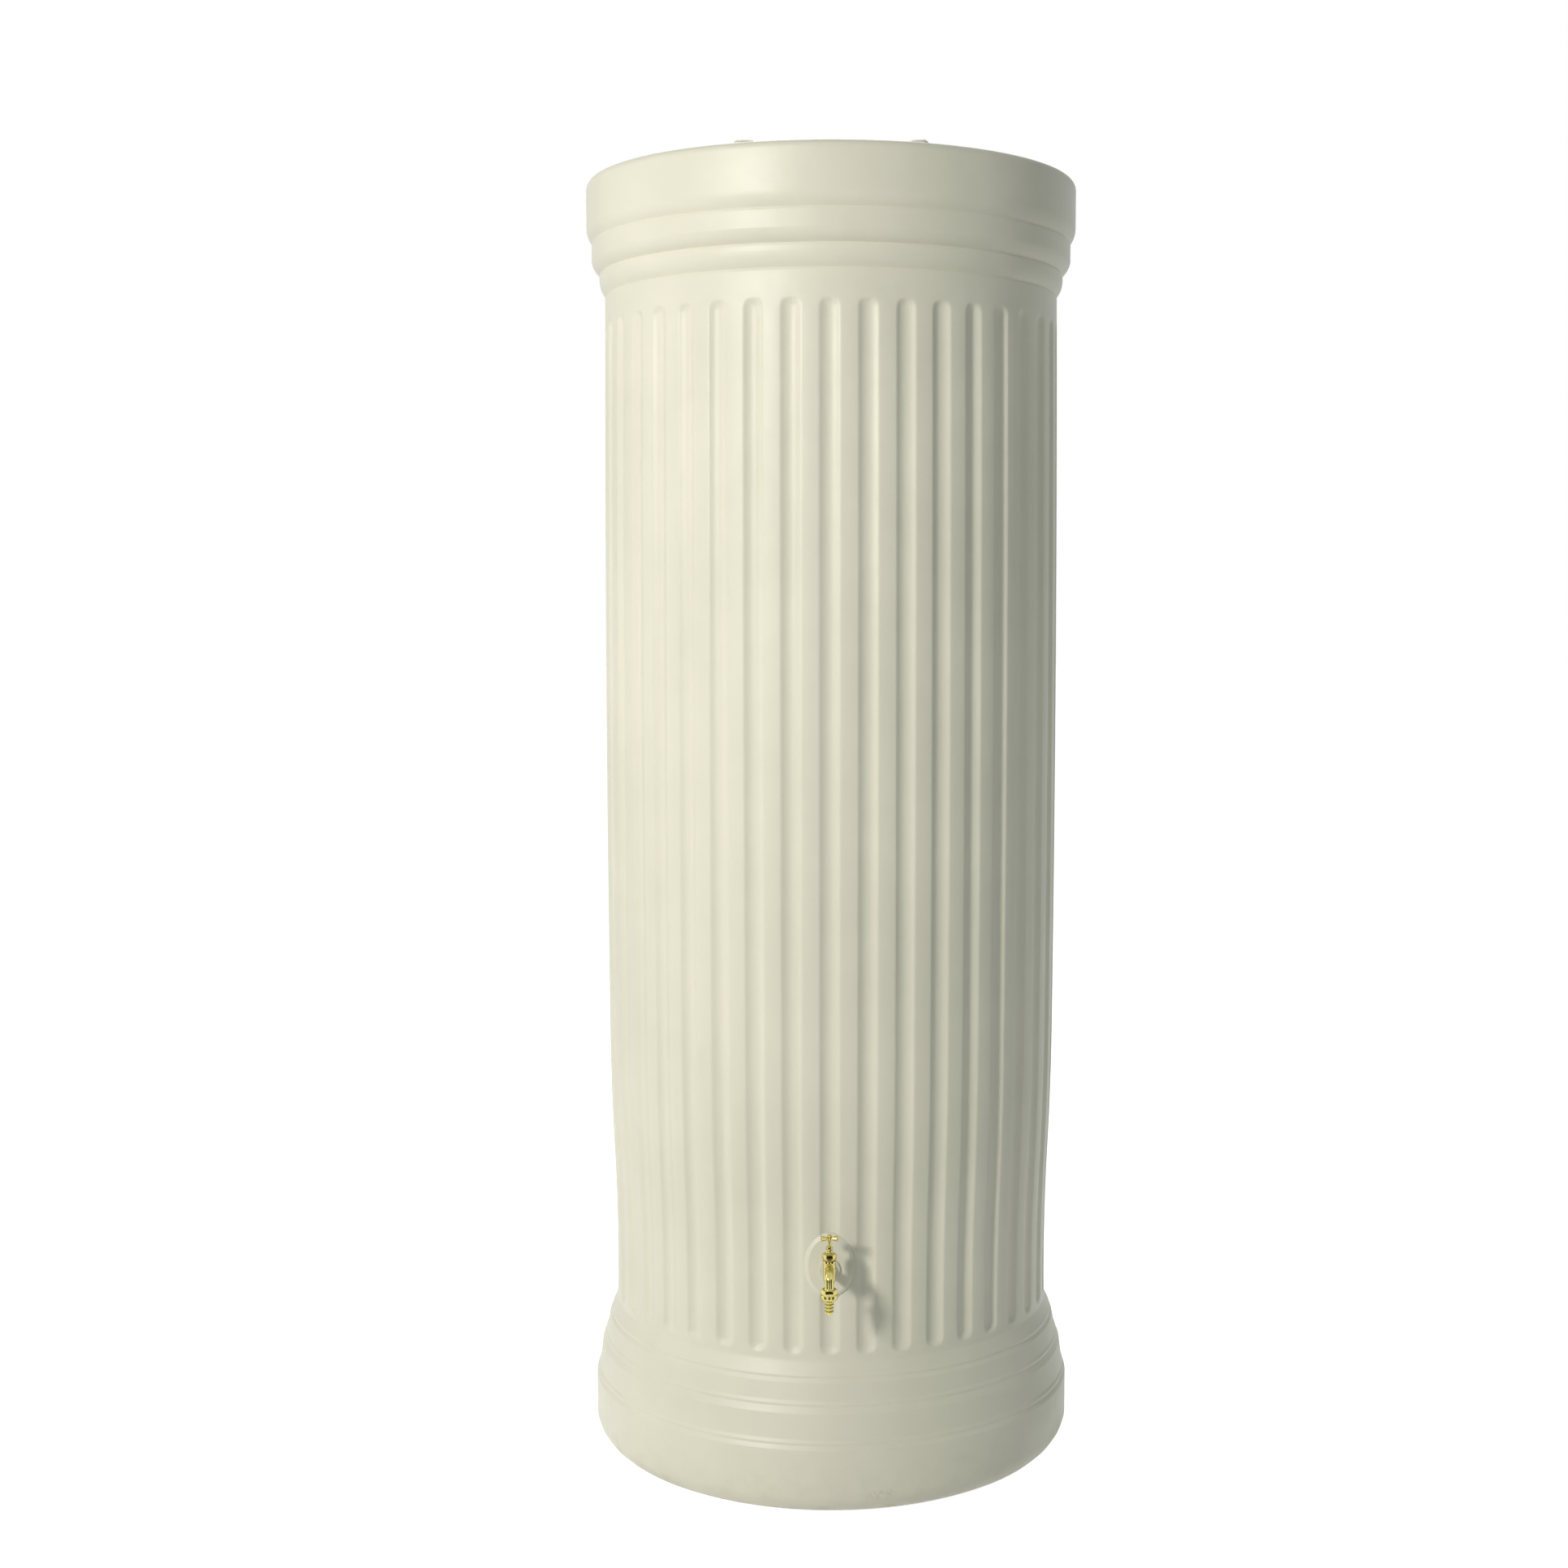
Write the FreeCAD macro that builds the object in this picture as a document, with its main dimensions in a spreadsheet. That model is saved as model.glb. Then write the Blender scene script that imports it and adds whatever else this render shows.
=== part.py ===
import FreeCAD, Part
import math
import os
import types

import Sketcher

# A fluted column water tank with a screw lid and a brass bib tap.
# Frame: origin at the centre of the base, +Z up, the tap faces -Y. Millimetres and degrees.

SIZES = {
    # shaft: the radius at its foot, how far the rest of its bow swells beyond that, and four heights
    "shaft_foot_radius": 269.8,
    "shaft_foot_height": 178.0,
    "waist_swell": 2.9,
    "waist_height": 366.0,
    "belly_swell": 7.2,
    "belly_height": 521.0,
    "shaft_top_swell": 5.3,
    "shaft_top_height": 1415.5,
    # foot and plinth, each ring a step out from the one above it
    "high_torus_step": 7.3,
    "high_torus_height": 160.5,
    "low_torus_step": 9.0,
    "low_torus_height": 130.0,
    "plinth_crease_step": 9.1,
    "plinth_crease_height": 87.5,
    "plinth_step": 1.8,
    "plinth_height": 81.5,
    "foot_round": 30.0,
    # capital, three bands with rounded lower edges, each a step out from what is below it
    "band3_step": 6.8,
    "band3_round": 18.0,
    "band2_step": 9.1,
    "band2_height": 1441.5,
    "band2_round": 15.0,
    "band1_step": 6.0,
    "band1_height": 1478.5,
    "band1_round": 17.5,
    "rim_height": 1549.5,
    "rim_round": 9.0,
    "deck_drop": 8.0,
    # walls of the moulded shell
    "wall": 4.0,
    "band_wall": 7.5,
    "floor_wall": 8.0,
    # flutes
    "flute_count": 40,
    "flute_width": 22.0,
    "flute_depth": 4.5,
    "flute_low": 185.0,
    "flute_high": 1383.0,
    # filler neck
    "neck_radius": 109.0,
    "neck_wall": 7.0,
    "neck_rise": 30.5,
    # screw lid
    "lid_radius": 118.0,
    "lid_wall": 5.0,
    "lid_plate": 4.0,
    "lid_skirt": 27.0,
    "lid_round": 5.0,
    "lid_seal_width": 7.5,
    "lid_seal_margin": 0.5,
    "lid_seal_thickness": 3.0,
    "grip_height": 31.0,
    "grip_outer": 117.0,
    "grip_inner": 76.0,
    "grip_crest": 107.0,
    "grip_length": 52.0,
    "grip_slope": 5.0,
    "grip_round": 6.0,
    # oval pad that carries the tap
    "pad_width": 58.0,
    "pad_tall": 75.5,
    "pad_height": 294.5,
    "pad_stand": 3.5,
    "pad_sink": 6.0,
    "pad_round": 4.0,
    # threaded insert moulded into the pad
    "insert_radius": 11.0,
    "insert_length": 11.4,
    "insert_collar_radius": 13.0,
    "insert_collar_start": 4.0,
    "insert_collar_width": 4.0,
    "inlet_thread_radius": 6.5,
    "thread_play": 0.06,
    # tap, heights counted from the inlet axis
    "tap_height": 287.5,
    "tap_reach": 36.0,
    "tap_seal_radius": 12.3,
    "tap_seal_thickness": 3.0,
    "inlet_collar_radius": 7.5,
    "inlet_collar_width": 3.0,
    "inlet_neck_radius": 5.8,
    "inlet_thread_length": 13.0,
    "inlet_bore": 3.7,
    "barrel_radius": 7.0,
    "barrel_top": 21.4,
    "bead_radius": 7.6,
    "bead_width": 2.0,
    "chamber_radius": 5.3,
    "low_chamber_radius": 5.0,
    "low_chamber_depth": 5.0,
    "low_chamber_taper": 2.6,
    "seat_height": 5.5,
    "seat_web": 1.7,
    "seat_hole": 3.0,
    "spout_height": 12.5,
    "spout_reach": 26.0,
    "spout_bend": 12.0,
    "spout_radius": 5.0,
    "spout_bore": 3.0,
    "spout_shoulder": 2.4,
    "spout_thread_top": 4.0,
    "spout_end": 11.5,
    "spout_thread_radius": 6.5,
    # valve inside the barrel
    "valve_washer_radius": 4.3,
    "valve_washer_thickness": 2.0,
    "jumper_plate_radius": 4.4,
    "jumper_plate_thickness": 1.5,
    "jumper_stem_radius": 1.2,
    "jumper_stem_length": 5.4,
    "jumper_stud_radius": 0.9,
    "jumper_nut_flats": 3.2,
    "jumper_nut_height": 1.2,
    "stud_stand": 0.2,
    "play": 0.05,
    # bonnet, gland and spindle
    "bonnet_gasket_thickness": 0.8,
    "bonnet_gasket_radius": 6.8,
    "bonnet_flats": 14.0,
    "bonnet_hex_height": 7.2,
    "bonnet_skirt": 6.6,
    "bonnet_neck_radius": 3.7,
    "bonnet_neck_height": 4.5,
    "foot_bore_radius": 3.2,
    "foot_bore_depth": 4.0,
    "thread_bore_depth": 8.0,
    "packing_bore_radius": 2.8,
    "packing_depth": 4.9,
    "packing_thickness": 1.8,
    "gland_ring_thickness": 0.6,
    "gland_flats": 6.6,
    "gland_hex_height": 3.0,
    "gland_stand": 0.3,
    "stem_radius": 1.9,
    "spindle_thread_radius": 2.5,
    "spindle_foot_radius": 2.8,
    "spindle_foot_height": 5.9,
    "spindle_thread_length": 8.2,
    "spindle_rest": 0.1,
    # tee handle
    "tee_height": 46.5,
    "tee_hub_radius": 3.3,
    "tee_hub_drop": 4.0,
    "tee_hub_rise": 4.2,
    "tee_hub_taper": 1.2,
    "tee_length": 19.8,
    "tee_end_radius": 2.9,
    "tee_end_length": 1.4,
    "tee_flare": 4.6,
    "tee_middle_radius": 1.9,
    "tee_edge": 0.4,
    "stem_in_hub": 6.0,
    "pin_radius": 0.8,
    "pin_stand": 0.2,
    # hose connector under the spout
    "hose_washer_thickness": 1.5,
    "hose_washer_radius": 6.3,
    "tail_collar_radius": 6.3,
    "tail_collar_height": 2.0,
    "tail_neck_radius": 3.5,
    "tail_neck_length": 3.6,
    "tail_bore": 2.5,
    "barb_radius": 4.3,
    "barb_count": 4,
    "barb_pitch": 3.4,
    "barb_land": 0.9,
    "nut_top": 2.7,
    "nut_length": 14.0,
    "nut_lip": 1.7,
    "nut_lip_radius": 4.85,
    "nut_flats": 16.4,
    "nut_hex_height": 7.0,
    "nut_flange_radius": 9.5,
    "nut_flange_round": 3.0,
    "nut_chamfer_rise": 1.8,
    "nut_chamfer_radius": 7.2,
}

ORIGIN_POINT = (-1, 1)
VERTICAL_AXIS = -2
HORIZONTAL_AXIS = -1


class Size:
    """A number together with the sheet expression that gives it."""

    def __init__(self, value, text):
        self.value = float(value)
        self.text = text

    def __add__(self, other):
        other = as_size(other)
        return Size(self.value + other.value, f"({self.text} + {other.text})")

    def __sub__(self, other):
        other = as_size(other)
        return Size(self.value - other.value, f"({self.text} - {other.text})")

    def __mul__(self, other):
        other = as_size(other)
        return Size(self.value * other.value, f"({self.text} * {other.text})")

    def __truediv__(self, other):
        other = as_size(other)
        return Size(self.value / other.value, f"({self.text} / {other.text})")

    def __neg__(self):
        return as_size(0) - self

    def __radd__(self, other):
        return as_size(other) + self

    def __rsub__(self, other):
        return as_size(other) - self

    def __rmul__(self, other):
        return as_size(other) * self


def as_size(thing):
    """A plain number counts as a size of its own."""
    if isinstance(thing, Size):
        return thing
    return Size(thing, repr(float(thing)))


def fill_sheet(doc):
    """Puts the driving sizes on the sheet and returns them by name."""
    sheet = doc.addObject("Spreadsheet::Sheet", "Sizes")
    for row, (name, number) in enumerate(SIZES.items(), start=1):
        sheet.set(f"A{row}", name)
        sheet.set(f"B{row}", str(number))
        sheet.setAlias(f"B{row}", name)
    return types.SimpleNamespace(**{name: Size(value, f"Sizes.{name}") for name, value in SIZES.items()})


doc = FreeCAD.newDocument("water_tank")
S = fill_sheet(doc)
doc.recompute()


# Helpers for sketches and features


def bind(thing, **sizes):
    """Ties properties of a feature to sheet expressions."""
    for name, size in sizes.items():
        thing.setExpression(name, as_size(size).text)


def new_body(label):
    body = doc.addObject("PartDesign::Body", label)
    body.Label = label
    return body


def place(body, x=0, y=0, z=0, rotation=None):
    """Puts a body at a place given by sizes, turned by a fixed rotation."""
    if rotation is not None:
        body.Placement.Rotation = rotation
    for letter, size in zip("xyz", (x, y, z)):
        body.setExpression(f"Placement.Base.{letter}", as_size(size).text)


def origin_feature(body, role):
    return [item for item in body.Origin.OriginFeatures if item.Role == role][0]


def new_sketch(body, label, plane, height=None):
    """An empty sketch on one of the body's own planes, raised along the plane's normal by height."""
    sketch = body.newObject("Sketcher::SketchObject", label)
    sketch.AttachmentSupport = (origin_feature(body, plane), [""])
    sketch.MapMode = "FlatFace"
    if height is not None:
        sketch.setExpression("AttachmentOffset.Base.z", as_size(height).text)
    return sketch


def distance(kind, point, size, name):
    """A limit that sets a point's distance from the sketch origin along X or Y."""
    size = as_size(size)
    if size.value == 0:
        axis = VERTICAL_AXIS if kind == "DistanceX" else HORIZONTAL_AXIS
        return Sketcher.Constraint("PointOnObject", *point, axis), None, None
    return Sketcher.Constraint(kind, *ORIGIN_POINT, *point, size.value), name, size


def add_limits(sketch, limits):
    """Adds all constraints at once and ties the named ones to the sheet."""
    first = sketch.ConstraintCount
    sketch.addConstraint([limit for limit, name, size in limits])
    for index, (limit, name, size) in enumerate(limits, start=first):
        if name is not None:
            sketch.renameConstraint(index, name)
            sketch.setExpression(f"Constraints.{name}", size.text)


def bend(start, end, bulge, steps):
    """Corners along a round stretch, up to its end. bulge is the tangent of a quarter of its angle,
    positive when it turns left."""
    sweep = 4 * math.atan(bulge)
    width = 2 * math.sin(sweep / 2)
    dx, dy = end[0] - start[0], end[1] - start[1]
    corners = []
    for step in range(1, steps):
        angle = sweep * (0.5 - step / steps)
        along = 0.5 - math.sin(angle) / width
        aside = (math.cos(angle) - math.cos(sweep / 2)) / width
        corners.append((start[0] + dx * along + dy * aside, start[1] + dy * along - dx * aside))
    return corners + [end]


def straighten(corners):
    """Turns corners (x, y, bulge, steps) into plain ones, (x, y) being a corner after a straight side."""
    corners = [(as_size(x), as_size(y), *bow) for x, y, *bow in corners]
    plain = []
    for index, (x, y, *bow) in enumerate(corners):
        if bow:
            plain += bend(corners[index - 1][:2], (x, y), *bow)
        else:
            plain.append((x, y))
    return plain


def draw(sketch, corners, closed=True):
    """An outline of corners (x, y), or (x, y, bulge, steps) after a round stretch."""
    corners = straighten(corners)
    sides, limits = [], []
    count = len(corners) if closed else len(corners) - 1
    for index in range(count):
        x, y = corners[index]
        following = corners[(index + 1) % len(corners)]
        ends = [FreeCAD.Vector(c[0].value, c[1].value, 0) for c in ((x, y), following)]
        sides.append(Part.LineSegment(*ends))
        limits.append(distance("DistanceX", (index, 1), x, f"x{index}"))
        limits.append(distance("DistanceY", (index, 1), y, f"y{index}"))
        if index + 1 < count or closed:
            onward = ((index + 1) % count, 1)
            limits.append((Sketcher.Constraint("Coincident", index, 2, *onward), None, None))
        else:
            limits.append(distance("DistanceX", (index, 2), following[0], "end_x"))
            limits.append(distance("DistanceY", (index, 2), following[1], "end_y"))
    sketch.addGeometry(sides, False)
    add_limits(sketch, limits)
    return sketch


def draw_circle(sketch, x, y, radius):
    x, y, radius = as_size(x), as_size(y), as_size(radius)
    centre = FreeCAD.Vector(x.value, y.value, 0)
    sketch.addGeometry(Part.Circle(centre, FreeCAD.Vector(0, 0, 1), radius.value), False)
    limits = [
        distance("DistanceX", (0, 3), x, "centre_x"),
        distance("DistanceY", (0, 3), y, "centre_y"),
        (Sketcher.Constraint("Radius", 0, radius.value), "radius", radius),
    ]
    add_limits(sketch, limits)
    return sketch


def draw_ellipse(sketch, height, wide, tall):
    """An upright ellipse centred at a height on the sketch's vertical axis."""
    centre = FreeCAD.Vector(0, height.value, 0)
    top = FreeCAD.Vector(0, height.value + tall.value / 2, 0)
    side = FreeCAD.Vector(-wide.value / 2, height.value, 0)
    sketch.addGeometry(Part.Ellipse(top, side, centre), False)
    sketch.exposeInternalGeometry(0)
    limits = [
        distance("DistanceX", (0, 3), 0, None),
        distance("DistanceY", (0, 3), height, "centre_y"),
        (Sketcher.Constraint("Vertical", 1), None, None),
        (Sketcher.Constraint("Distance", 1, tall.value), "tall", tall),
        (Sketcher.Constraint("Distance", 2, wide.value), "wide", wide),
    ]
    add_limits(sketch, limits)
    return sketch


def turn(body, label, corners, kind="PartDesign::Revolution", plane="XZ_Plane", height=None):
    """Turns an outline of (radius, height) corners about the sketch's vertical axis."""
    sketch = draw(new_sketch(body, f"{label}_outline", plane, height), corners)
    feature = body.newObject(kind, label)
    feature.Profile = sketch
    feature.ReferenceAxis = (sketch, ["V_Axis"])
    feature.Angle = 360
    return feature


def turned(label, corners):
    """A body made by turning one outline."""
    body = new_body(label)
    turn(body, f"{label}_turned", corners)
    return body


def pad(body, label, sketch, length, both_ways=False, back=False):
    feature = body.newObject("PartDesign::Pad", label)
    feature.Profile = sketch
    feature.Midplane = both_ways
    feature.Reversed = back
    bind(feature, Length=length)
    return feature


def pocket(body, label, sketch, length, both_ways=False, back=False):
    feature = body.newObject("PartDesign::Pocket", label)
    feature.Profile = sketch
    feature.Midplane = both_ways
    feature.Reversed = back
    bind(feature, Length=length)
    return feature


def hexagon(flats):
    """Corners of a hexagon with two corners on the X axis."""
    reach = flats / 3.0 ** 0.5
    return [
        (reach * math.cos(math.radians(60 * k)), reach * math.sin(math.radians(60 * k)))
        for k in range(6)
    ]


def lies_at(edge, axis, place):
    """Whether all of an edge lies at one place along an axis."""
    box = edge.BoundBox
    ends = (getattr(box, f"{axis}Min"), getattr(box, f"{axis}Max"))
    return max(abs(end - place) for end in ends) < 0.001


def round_edges(body, label, feature, choose, radius):
    """Fillets the edges of a feature that choose picks."""
    doc.recompute()
    names = [f"Edge{n}" for n, edge in enumerate(feature.Shape.Edges, start=1) if choose(edge)]
    if not names:
        raise RuntimeError(f"{label} found no edge to round")
    fillet = body.newObject("PartDesign::Fillet", label)
    fillet.Base = (feature, names)
    bind(fillet, Radius=radius)
    return fillet


# The moulded tank

# how many straight sides follow a quarter of a circle, a shallow arc and the bend of the spout
QUARTER_COUNT = 3
BOW_COUNT = 2
BELLY_COUNT = 1
SPOUT_COUNT = 4
# a quarter of a circle, a cove, a swelling band and the undercut below a band, as bulges
QUARTER_BULGE = math.tan(math.pi / 8)
QUARTER = (QUARTER_BULGE, QUARTER_COUNT)
COVE = (-0.13, BOW_COUNT)
TORUS = (0.15, BOW_COUNT)
UNDERCUT = (0.2, BOW_COUNT)
# the shaft narrows to a waist and swells above it
WAIST_BOW = (-0.0164, BOW_COUNT)
BELLY_BOW = (0.0105, BELLY_COUNT)
UPPER_BOW = (0.0042, BOW_COUNT)
# a flute runs out along this much of a circle, in degrees
RUN_OUT_ANGLE = 64

# radii of the column that more than one piece needs
high_torus = S.shaft_foot_radius + S.high_torus_step
low_torus = high_torus + S.low_torus_step
plinth_crease = low_torus + S.plinth_crease_step
plinth = plinth_crease + S.plinth_step
shaft_top = S.shaft_foot_radius + S.shaft_top_swell
band3 = shaft_top + S.band3_step
band2 = band3 + S.band2_step
band1 = band2 + S.band1_step
pad_face = S.shaft_foot_radius + S.pad_stand


def shaft_stations(stand_off):
    """Corners of the shaft's bowed side at a distance outside its surface, from below upwards."""
    foot = S.shaft_foot_radius + stand_off
    return [
        (foot, S.shaft_foot_height),
        (foot + S.waist_swell, S.waist_height, *WAIST_BOW),
        (foot + S.belly_swell, S.belly_height, *BELLY_BOW),
        (foot + S.shaft_top_swell, S.shaft_top_height, *UPPER_BOW),
    ]


def tank_outline():
    """Outer and inner line of the shell, from the middle of the floor round the outside and back inside."""
    deck = S.rim_height - S.deck_drop
    neck_top = deck + S.neck_rise
    neck_inner = S.neck_radius - S.neck_wall
    deck_under = deck - S.band_wall
    band_inner = band1 - S.band_wall
    floor_inner = plinth - S.floor_wall
    foot = [
        (0, 0),
        (plinth - S.foot_round, 0),
        (plinth, S.foot_round, *QUARTER),
        (plinth, S.plinth_height),
        (plinth_crease, S.plinth_crease_height),
        (low_torus, S.low_torus_height, *TORUS),
        (high_torus, S.high_torus_height, *TORUS),
        (S.shaft_foot_radius, S.shaft_foot_height, *COVE),
    ]
    shaft = shaft_stations(0)[1:]
    capital = [
        (band3, S.shaft_top_height + S.band3_round, *UNDERCUT),
        (band3, S.band2_height),
        (band2, S.band2_height + S.band2_round, *UNDERCUT),
        (band2, S.band1_height),
        (band1, S.band1_height + S.band1_round, *UNDERCUT),
        (band1, S.rim_height - S.rim_round),
        (band1 - S.rim_round, S.rim_height, *QUARTER),
        (band1 - S.rim_round - S.deck_drop, deck),
        (S.neck_radius, deck),
        (S.neck_radius, neck_top),
        (neck_inner, neck_top),
        (neck_inner, deck_under),
        (band_inner - S.band_wall, deck_under),
        (band_inner, deck_under - S.band_wall),
        (band_inner, S.band1_height + S.band1_round),
    ]
    # the inner side of the shaft, from above downwards, clear of the flutes
    inside = [(x, y) for x, y, *bow in reversed(shaft_stations(-(S.flute_depth + S.wall)))]
    cellar = [
        (low_torus - S.band_wall, S.low_torus_height),
        (floor_inner, S.plinth_height),
        (floor_inner, S.foot_round + S.floor_wall),
        (floor_inner - S.foot_round, S.floor_wall),
        (0, S.floor_wall),
    ]
    return foot + shaft + capital + inside + cellar


def surface_at(height, corners):
    """Radius at a height on a line of plain corners."""
    for below, above in zip(corners, corners[1:]):
        if height.value <= above[1].value:
            break
    return below[0] + (above[0] - below[0]) * ((height - below[1]) / (above[1] - below[1]))


def add_flutes(body):
    """One round-bottomed flute that follows the shaft and runs out at both ends, repeated all round."""
    half = S.flute_width / 2
    cutter = (half * half + S.flute_depth * S.flute_depth) / (2 * S.flute_depth)
    side = straighten(shaft_stations(cutter - S.flute_depth))
    foot, head = S.flute_low + half, S.flute_high - half
    between = [corner for corner in side if foot.value < corner[1].value < head.value]
    # the cutter leaves the surface along a circle of its own radius
    turned_by = math.radians(RUN_OUT_ANGLE)
    run_out = cutter * math.sin(turned_by)
    lift = cutter * (1 - math.cos(turned_by))
    bow = (math.tan(turned_by / 4), BOW_COUNT)
    low, high = surface_at(foot, side), surface_at(head, side)
    route = [(-(low + lift), foot - run_out), (-low, foot, *bow)]
    route += [(-x, y) for x, y in between]
    route += [(-high, head), (-(high + lift), head + run_out, *bow)]
    path = draw(new_sketch(body, "flute_path", "YZ_Plane"), route, closed=False)
    section = new_sketch(body, "flute_section", "XY_Plane", foot - run_out)
    draw_circle(section, 0, -(low + lift), cutter)
    groove = body.newObject("PartDesign::SubtractivePipe", "flute")
    groove.Profile = section
    groove.Spine = path
    groove.Mode = "Fixed"
    ring = body.newObject("PartDesign::PolarPattern", "flutes")
    ring.Originals = [groove]
    ring.Axis = (origin_feature(body, "Z_Axis"), [""])
    ring.Angle = 360
    bind(ring, Occurrences=S.flute_count)
    body.Tip = ring


def add_tap_pad(body):
    """The flat oval pad on the front and the seat of the threaded insert in it."""
    root = S.shaft_foot_radius - S.pad_sink
    oval = new_sketch(body, "pad_outline", "XZ_Plane", root)
    draw_ellipse(oval, S.pad_height, S.pad_width, S.pad_tall)
    boss = pad(body, "tap_pad", oval, pad_face - root)
    front = -pad_face.value
    round_edges(body, "tap_pad_edge", boss, lambda edge: lies_at(edge, "Y", front), S.pad_round)
    seat = insert_outline(S.insert_length + S.wall)
    turn(body, "insert_seat", seat, "PartDesign::Groove", "XY_Plane", S.tap_height)


def insert_outline(depth):
    """Half section of the insert's outside, from the pad's face inwards, along the Y axis of the tank."""
    collar_start = S.insert_collar_start - pad_face
    return [
        (0, -pad_face),
        (S.insert_radius, -pad_face),
        (S.insert_radius, collar_start),
        (S.insert_collar_radius, collar_start),
        (S.insert_collar_radius, collar_start + S.insert_collar_width),
        (S.insert_radius, collar_start + S.insert_collar_width),
        (S.insert_radius, depth - pad_face),
        (0, depth - pad_face),
    ]


def make_tank_body():
    body = new_body("tank_body")
    turn(body, "shell", tank_outline())
    add_flutes(body)
    add_tap_pad(body)
    return body


# The insert and the tap's seal on the pad, both along the inlet axis


def make_threaded_insert():
    """A brass bush with an outer collar that keeps it in the moulding."""
    body = new_body("threaded_insert")
    turn(body, "bush", insert_outline(S.insert_length), plane="XY_Plane", height=S.tap_height)
    bore = [
        (0, -pad_face),
        (S.inlet_thread_radius + S.thread_play, -pad_face),
        (S.inlet_thread_radius + S.thread_play, S.insert_length - pad_face),
        (0, S.insert_length - pad_face),
    ]
    turn(body, "bush_bore", bore, "PartDesign::Groove", "XY_Plane", S.tap_height)
    return body


def make_tap_seal():
    """The pale washer between the pad and the tap's collar."""
    body = new_body("tap_seal")
    inner = S.inlet_thread_radius + S.thread_play
    front = -(pad_face + S.tap_seal_thickness)
    outline = ring_outline(inner, S.tap_seal_radius, front, -pad_face)
    turn(body, "seal_ring", outline, plane="XY_Plane", height=S.tap_height)
    return body


# The tap's body


def spout_route():
    """Centre line of the spout in the tap's middle plane: forwards, round the bend and down."""
    forward = -(S.spout_reach - S.spout_bend)
    return [
        (-S.low_chamber_radius, S.spout_height),
        (forward, S.spout_height),
        (-S.spout_reach, S.spout_height - S.spout_bend, QUARTER_BULGE, SPOUT_COUNT),
        (-S.spout_reach, -S.spout_end),
    ]


def sweep(body, label, kind, radius, height, route):
    """A round tube along a route in the tap's middle plane, from a section across its first run."""
    path = draw(new_sketch(body, f"{label}_path", "YZ_Plane"), route, closed=False)
    section = new_sketch(body, f"{label}_section", "XZ_Plane", S.low_chamber_radius)
    draw_circle(section, 0, height, radius)
    tube = body.newObject(kind, label)
    tube.Profile = section
    tube.Spine = path
    tube.Transition = "Right corner"
    return tube


def make_tap_body():
    """The cast body: barrel, inlet with its thread, bent spout with the hose thread, seat and passages."""
    body = new_body("tap_body")
    barrel = [
        (0, -S.barrel_radius),
        (S.barrel_radius, 0, *QUARTER),
        (S.barrel_radius, S.barrel_top - 2 * S.bead_width),
        (S.bead_radius, S.barrel_top - S.bead_width),
        (S.bead_radius, S.barrel_top),
        (0, S.barrel_top),
    ]
    turn(body, "barrel", barrel)
    collar_back = S.tap_reach - S.tap_seal_thickness
    inlet = [
        (0, 0),
        (S.inlet_neck_radius, 0),
        (S.inlet_neck_radius, collar_back - S.inlet_collar_width),
        (S.inlet_collar_radius, collar_back - S.inlet_collar_width),
        (S.inlet_collar_radius, collar_back),
        (S.inlet_thread_radius, collar_back),
        (S.inlet_thread_radius, collar_back + S.inlet_thread_length),
        (0, collar_back + S.inlet_thread_length),
    ]
    turn(body, "inlet", inlet, plane="XY_Plane")
    sweep(body, "spout", "PartDesign::AdditivePipe", S.spout_radius, S.spout_height, spout_route())
    hose_thread = [
        (0, -S.spout_shoulder),
        (S.spout_radius, -S.spout_shoulder),
        (S.spout_thread_radius, -S.spout_thread_top),
        (S.spout_thread_radius, -S.spout_end),
        (0, -S.spout_end),
    ]
    turn(body, "hose_thread", hose_thread, height=S.spout_reach)
    web_under = S.seat_height - S.seat_web
    chambers = [
        (0, -S.low_chamber_depth),
        (S.low_chamber_radius - S.low_chamber_taper, -S.low_chamber_depth),
        (S.low_chamber_radius, -(S.low_chamber_depth - S.low_chamber_taper)),
        (S.low_chamber_radius, web_under),
        (S.seat_hole, web_under),
        (S.seat_hole, S.seat_height),
        (S.chamber_radius, S.seat_height),
        (S.chamber_radius, S.barrel_top),
        (0, S.barrel_top),
    ]
    turn(body, "chambers", chambers, "PartDesign::Groove")
    passage = [
        (0, 0),
        (S.inlet_bore, 0),
        (S.inlet_bore, collar_back + S.inlet_thread_length),
        (0, collar_back + S.inlet_thread_length),
    ]
    turn(body, "inlet_passage", passage, "PartDesign::Groove", "XY_Plane")
    sweep(body, "spout_passage", "PartDesign::SubtractivePipe", S.spout_bore, S.spout_height, spout_route())
    return body


# The bonnet and its gland, heights from the top of the barrel


def bonnet_base():
    return S.barrel_top + S.bonnet_gasket_thickness


def bonnet_top():
    return bonnet_base() + S.bonnet_hex_height + S.bonnet_neck_height


def packing_floor():
    return bonnet_top() - S.packing_depth


def ring_outline(inner, outer, bottom, top):
    return [(inner, bottom), (outer, bottom), (outer, top), (inner, top)]


def make_bonnet_gasket():
    inner = S.chamber_radius
    return turned("bonnet_gasket", ring_outline(inner, S.bonnet_gasket_radius, S.barrel_top, bonnet_base()))


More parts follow.
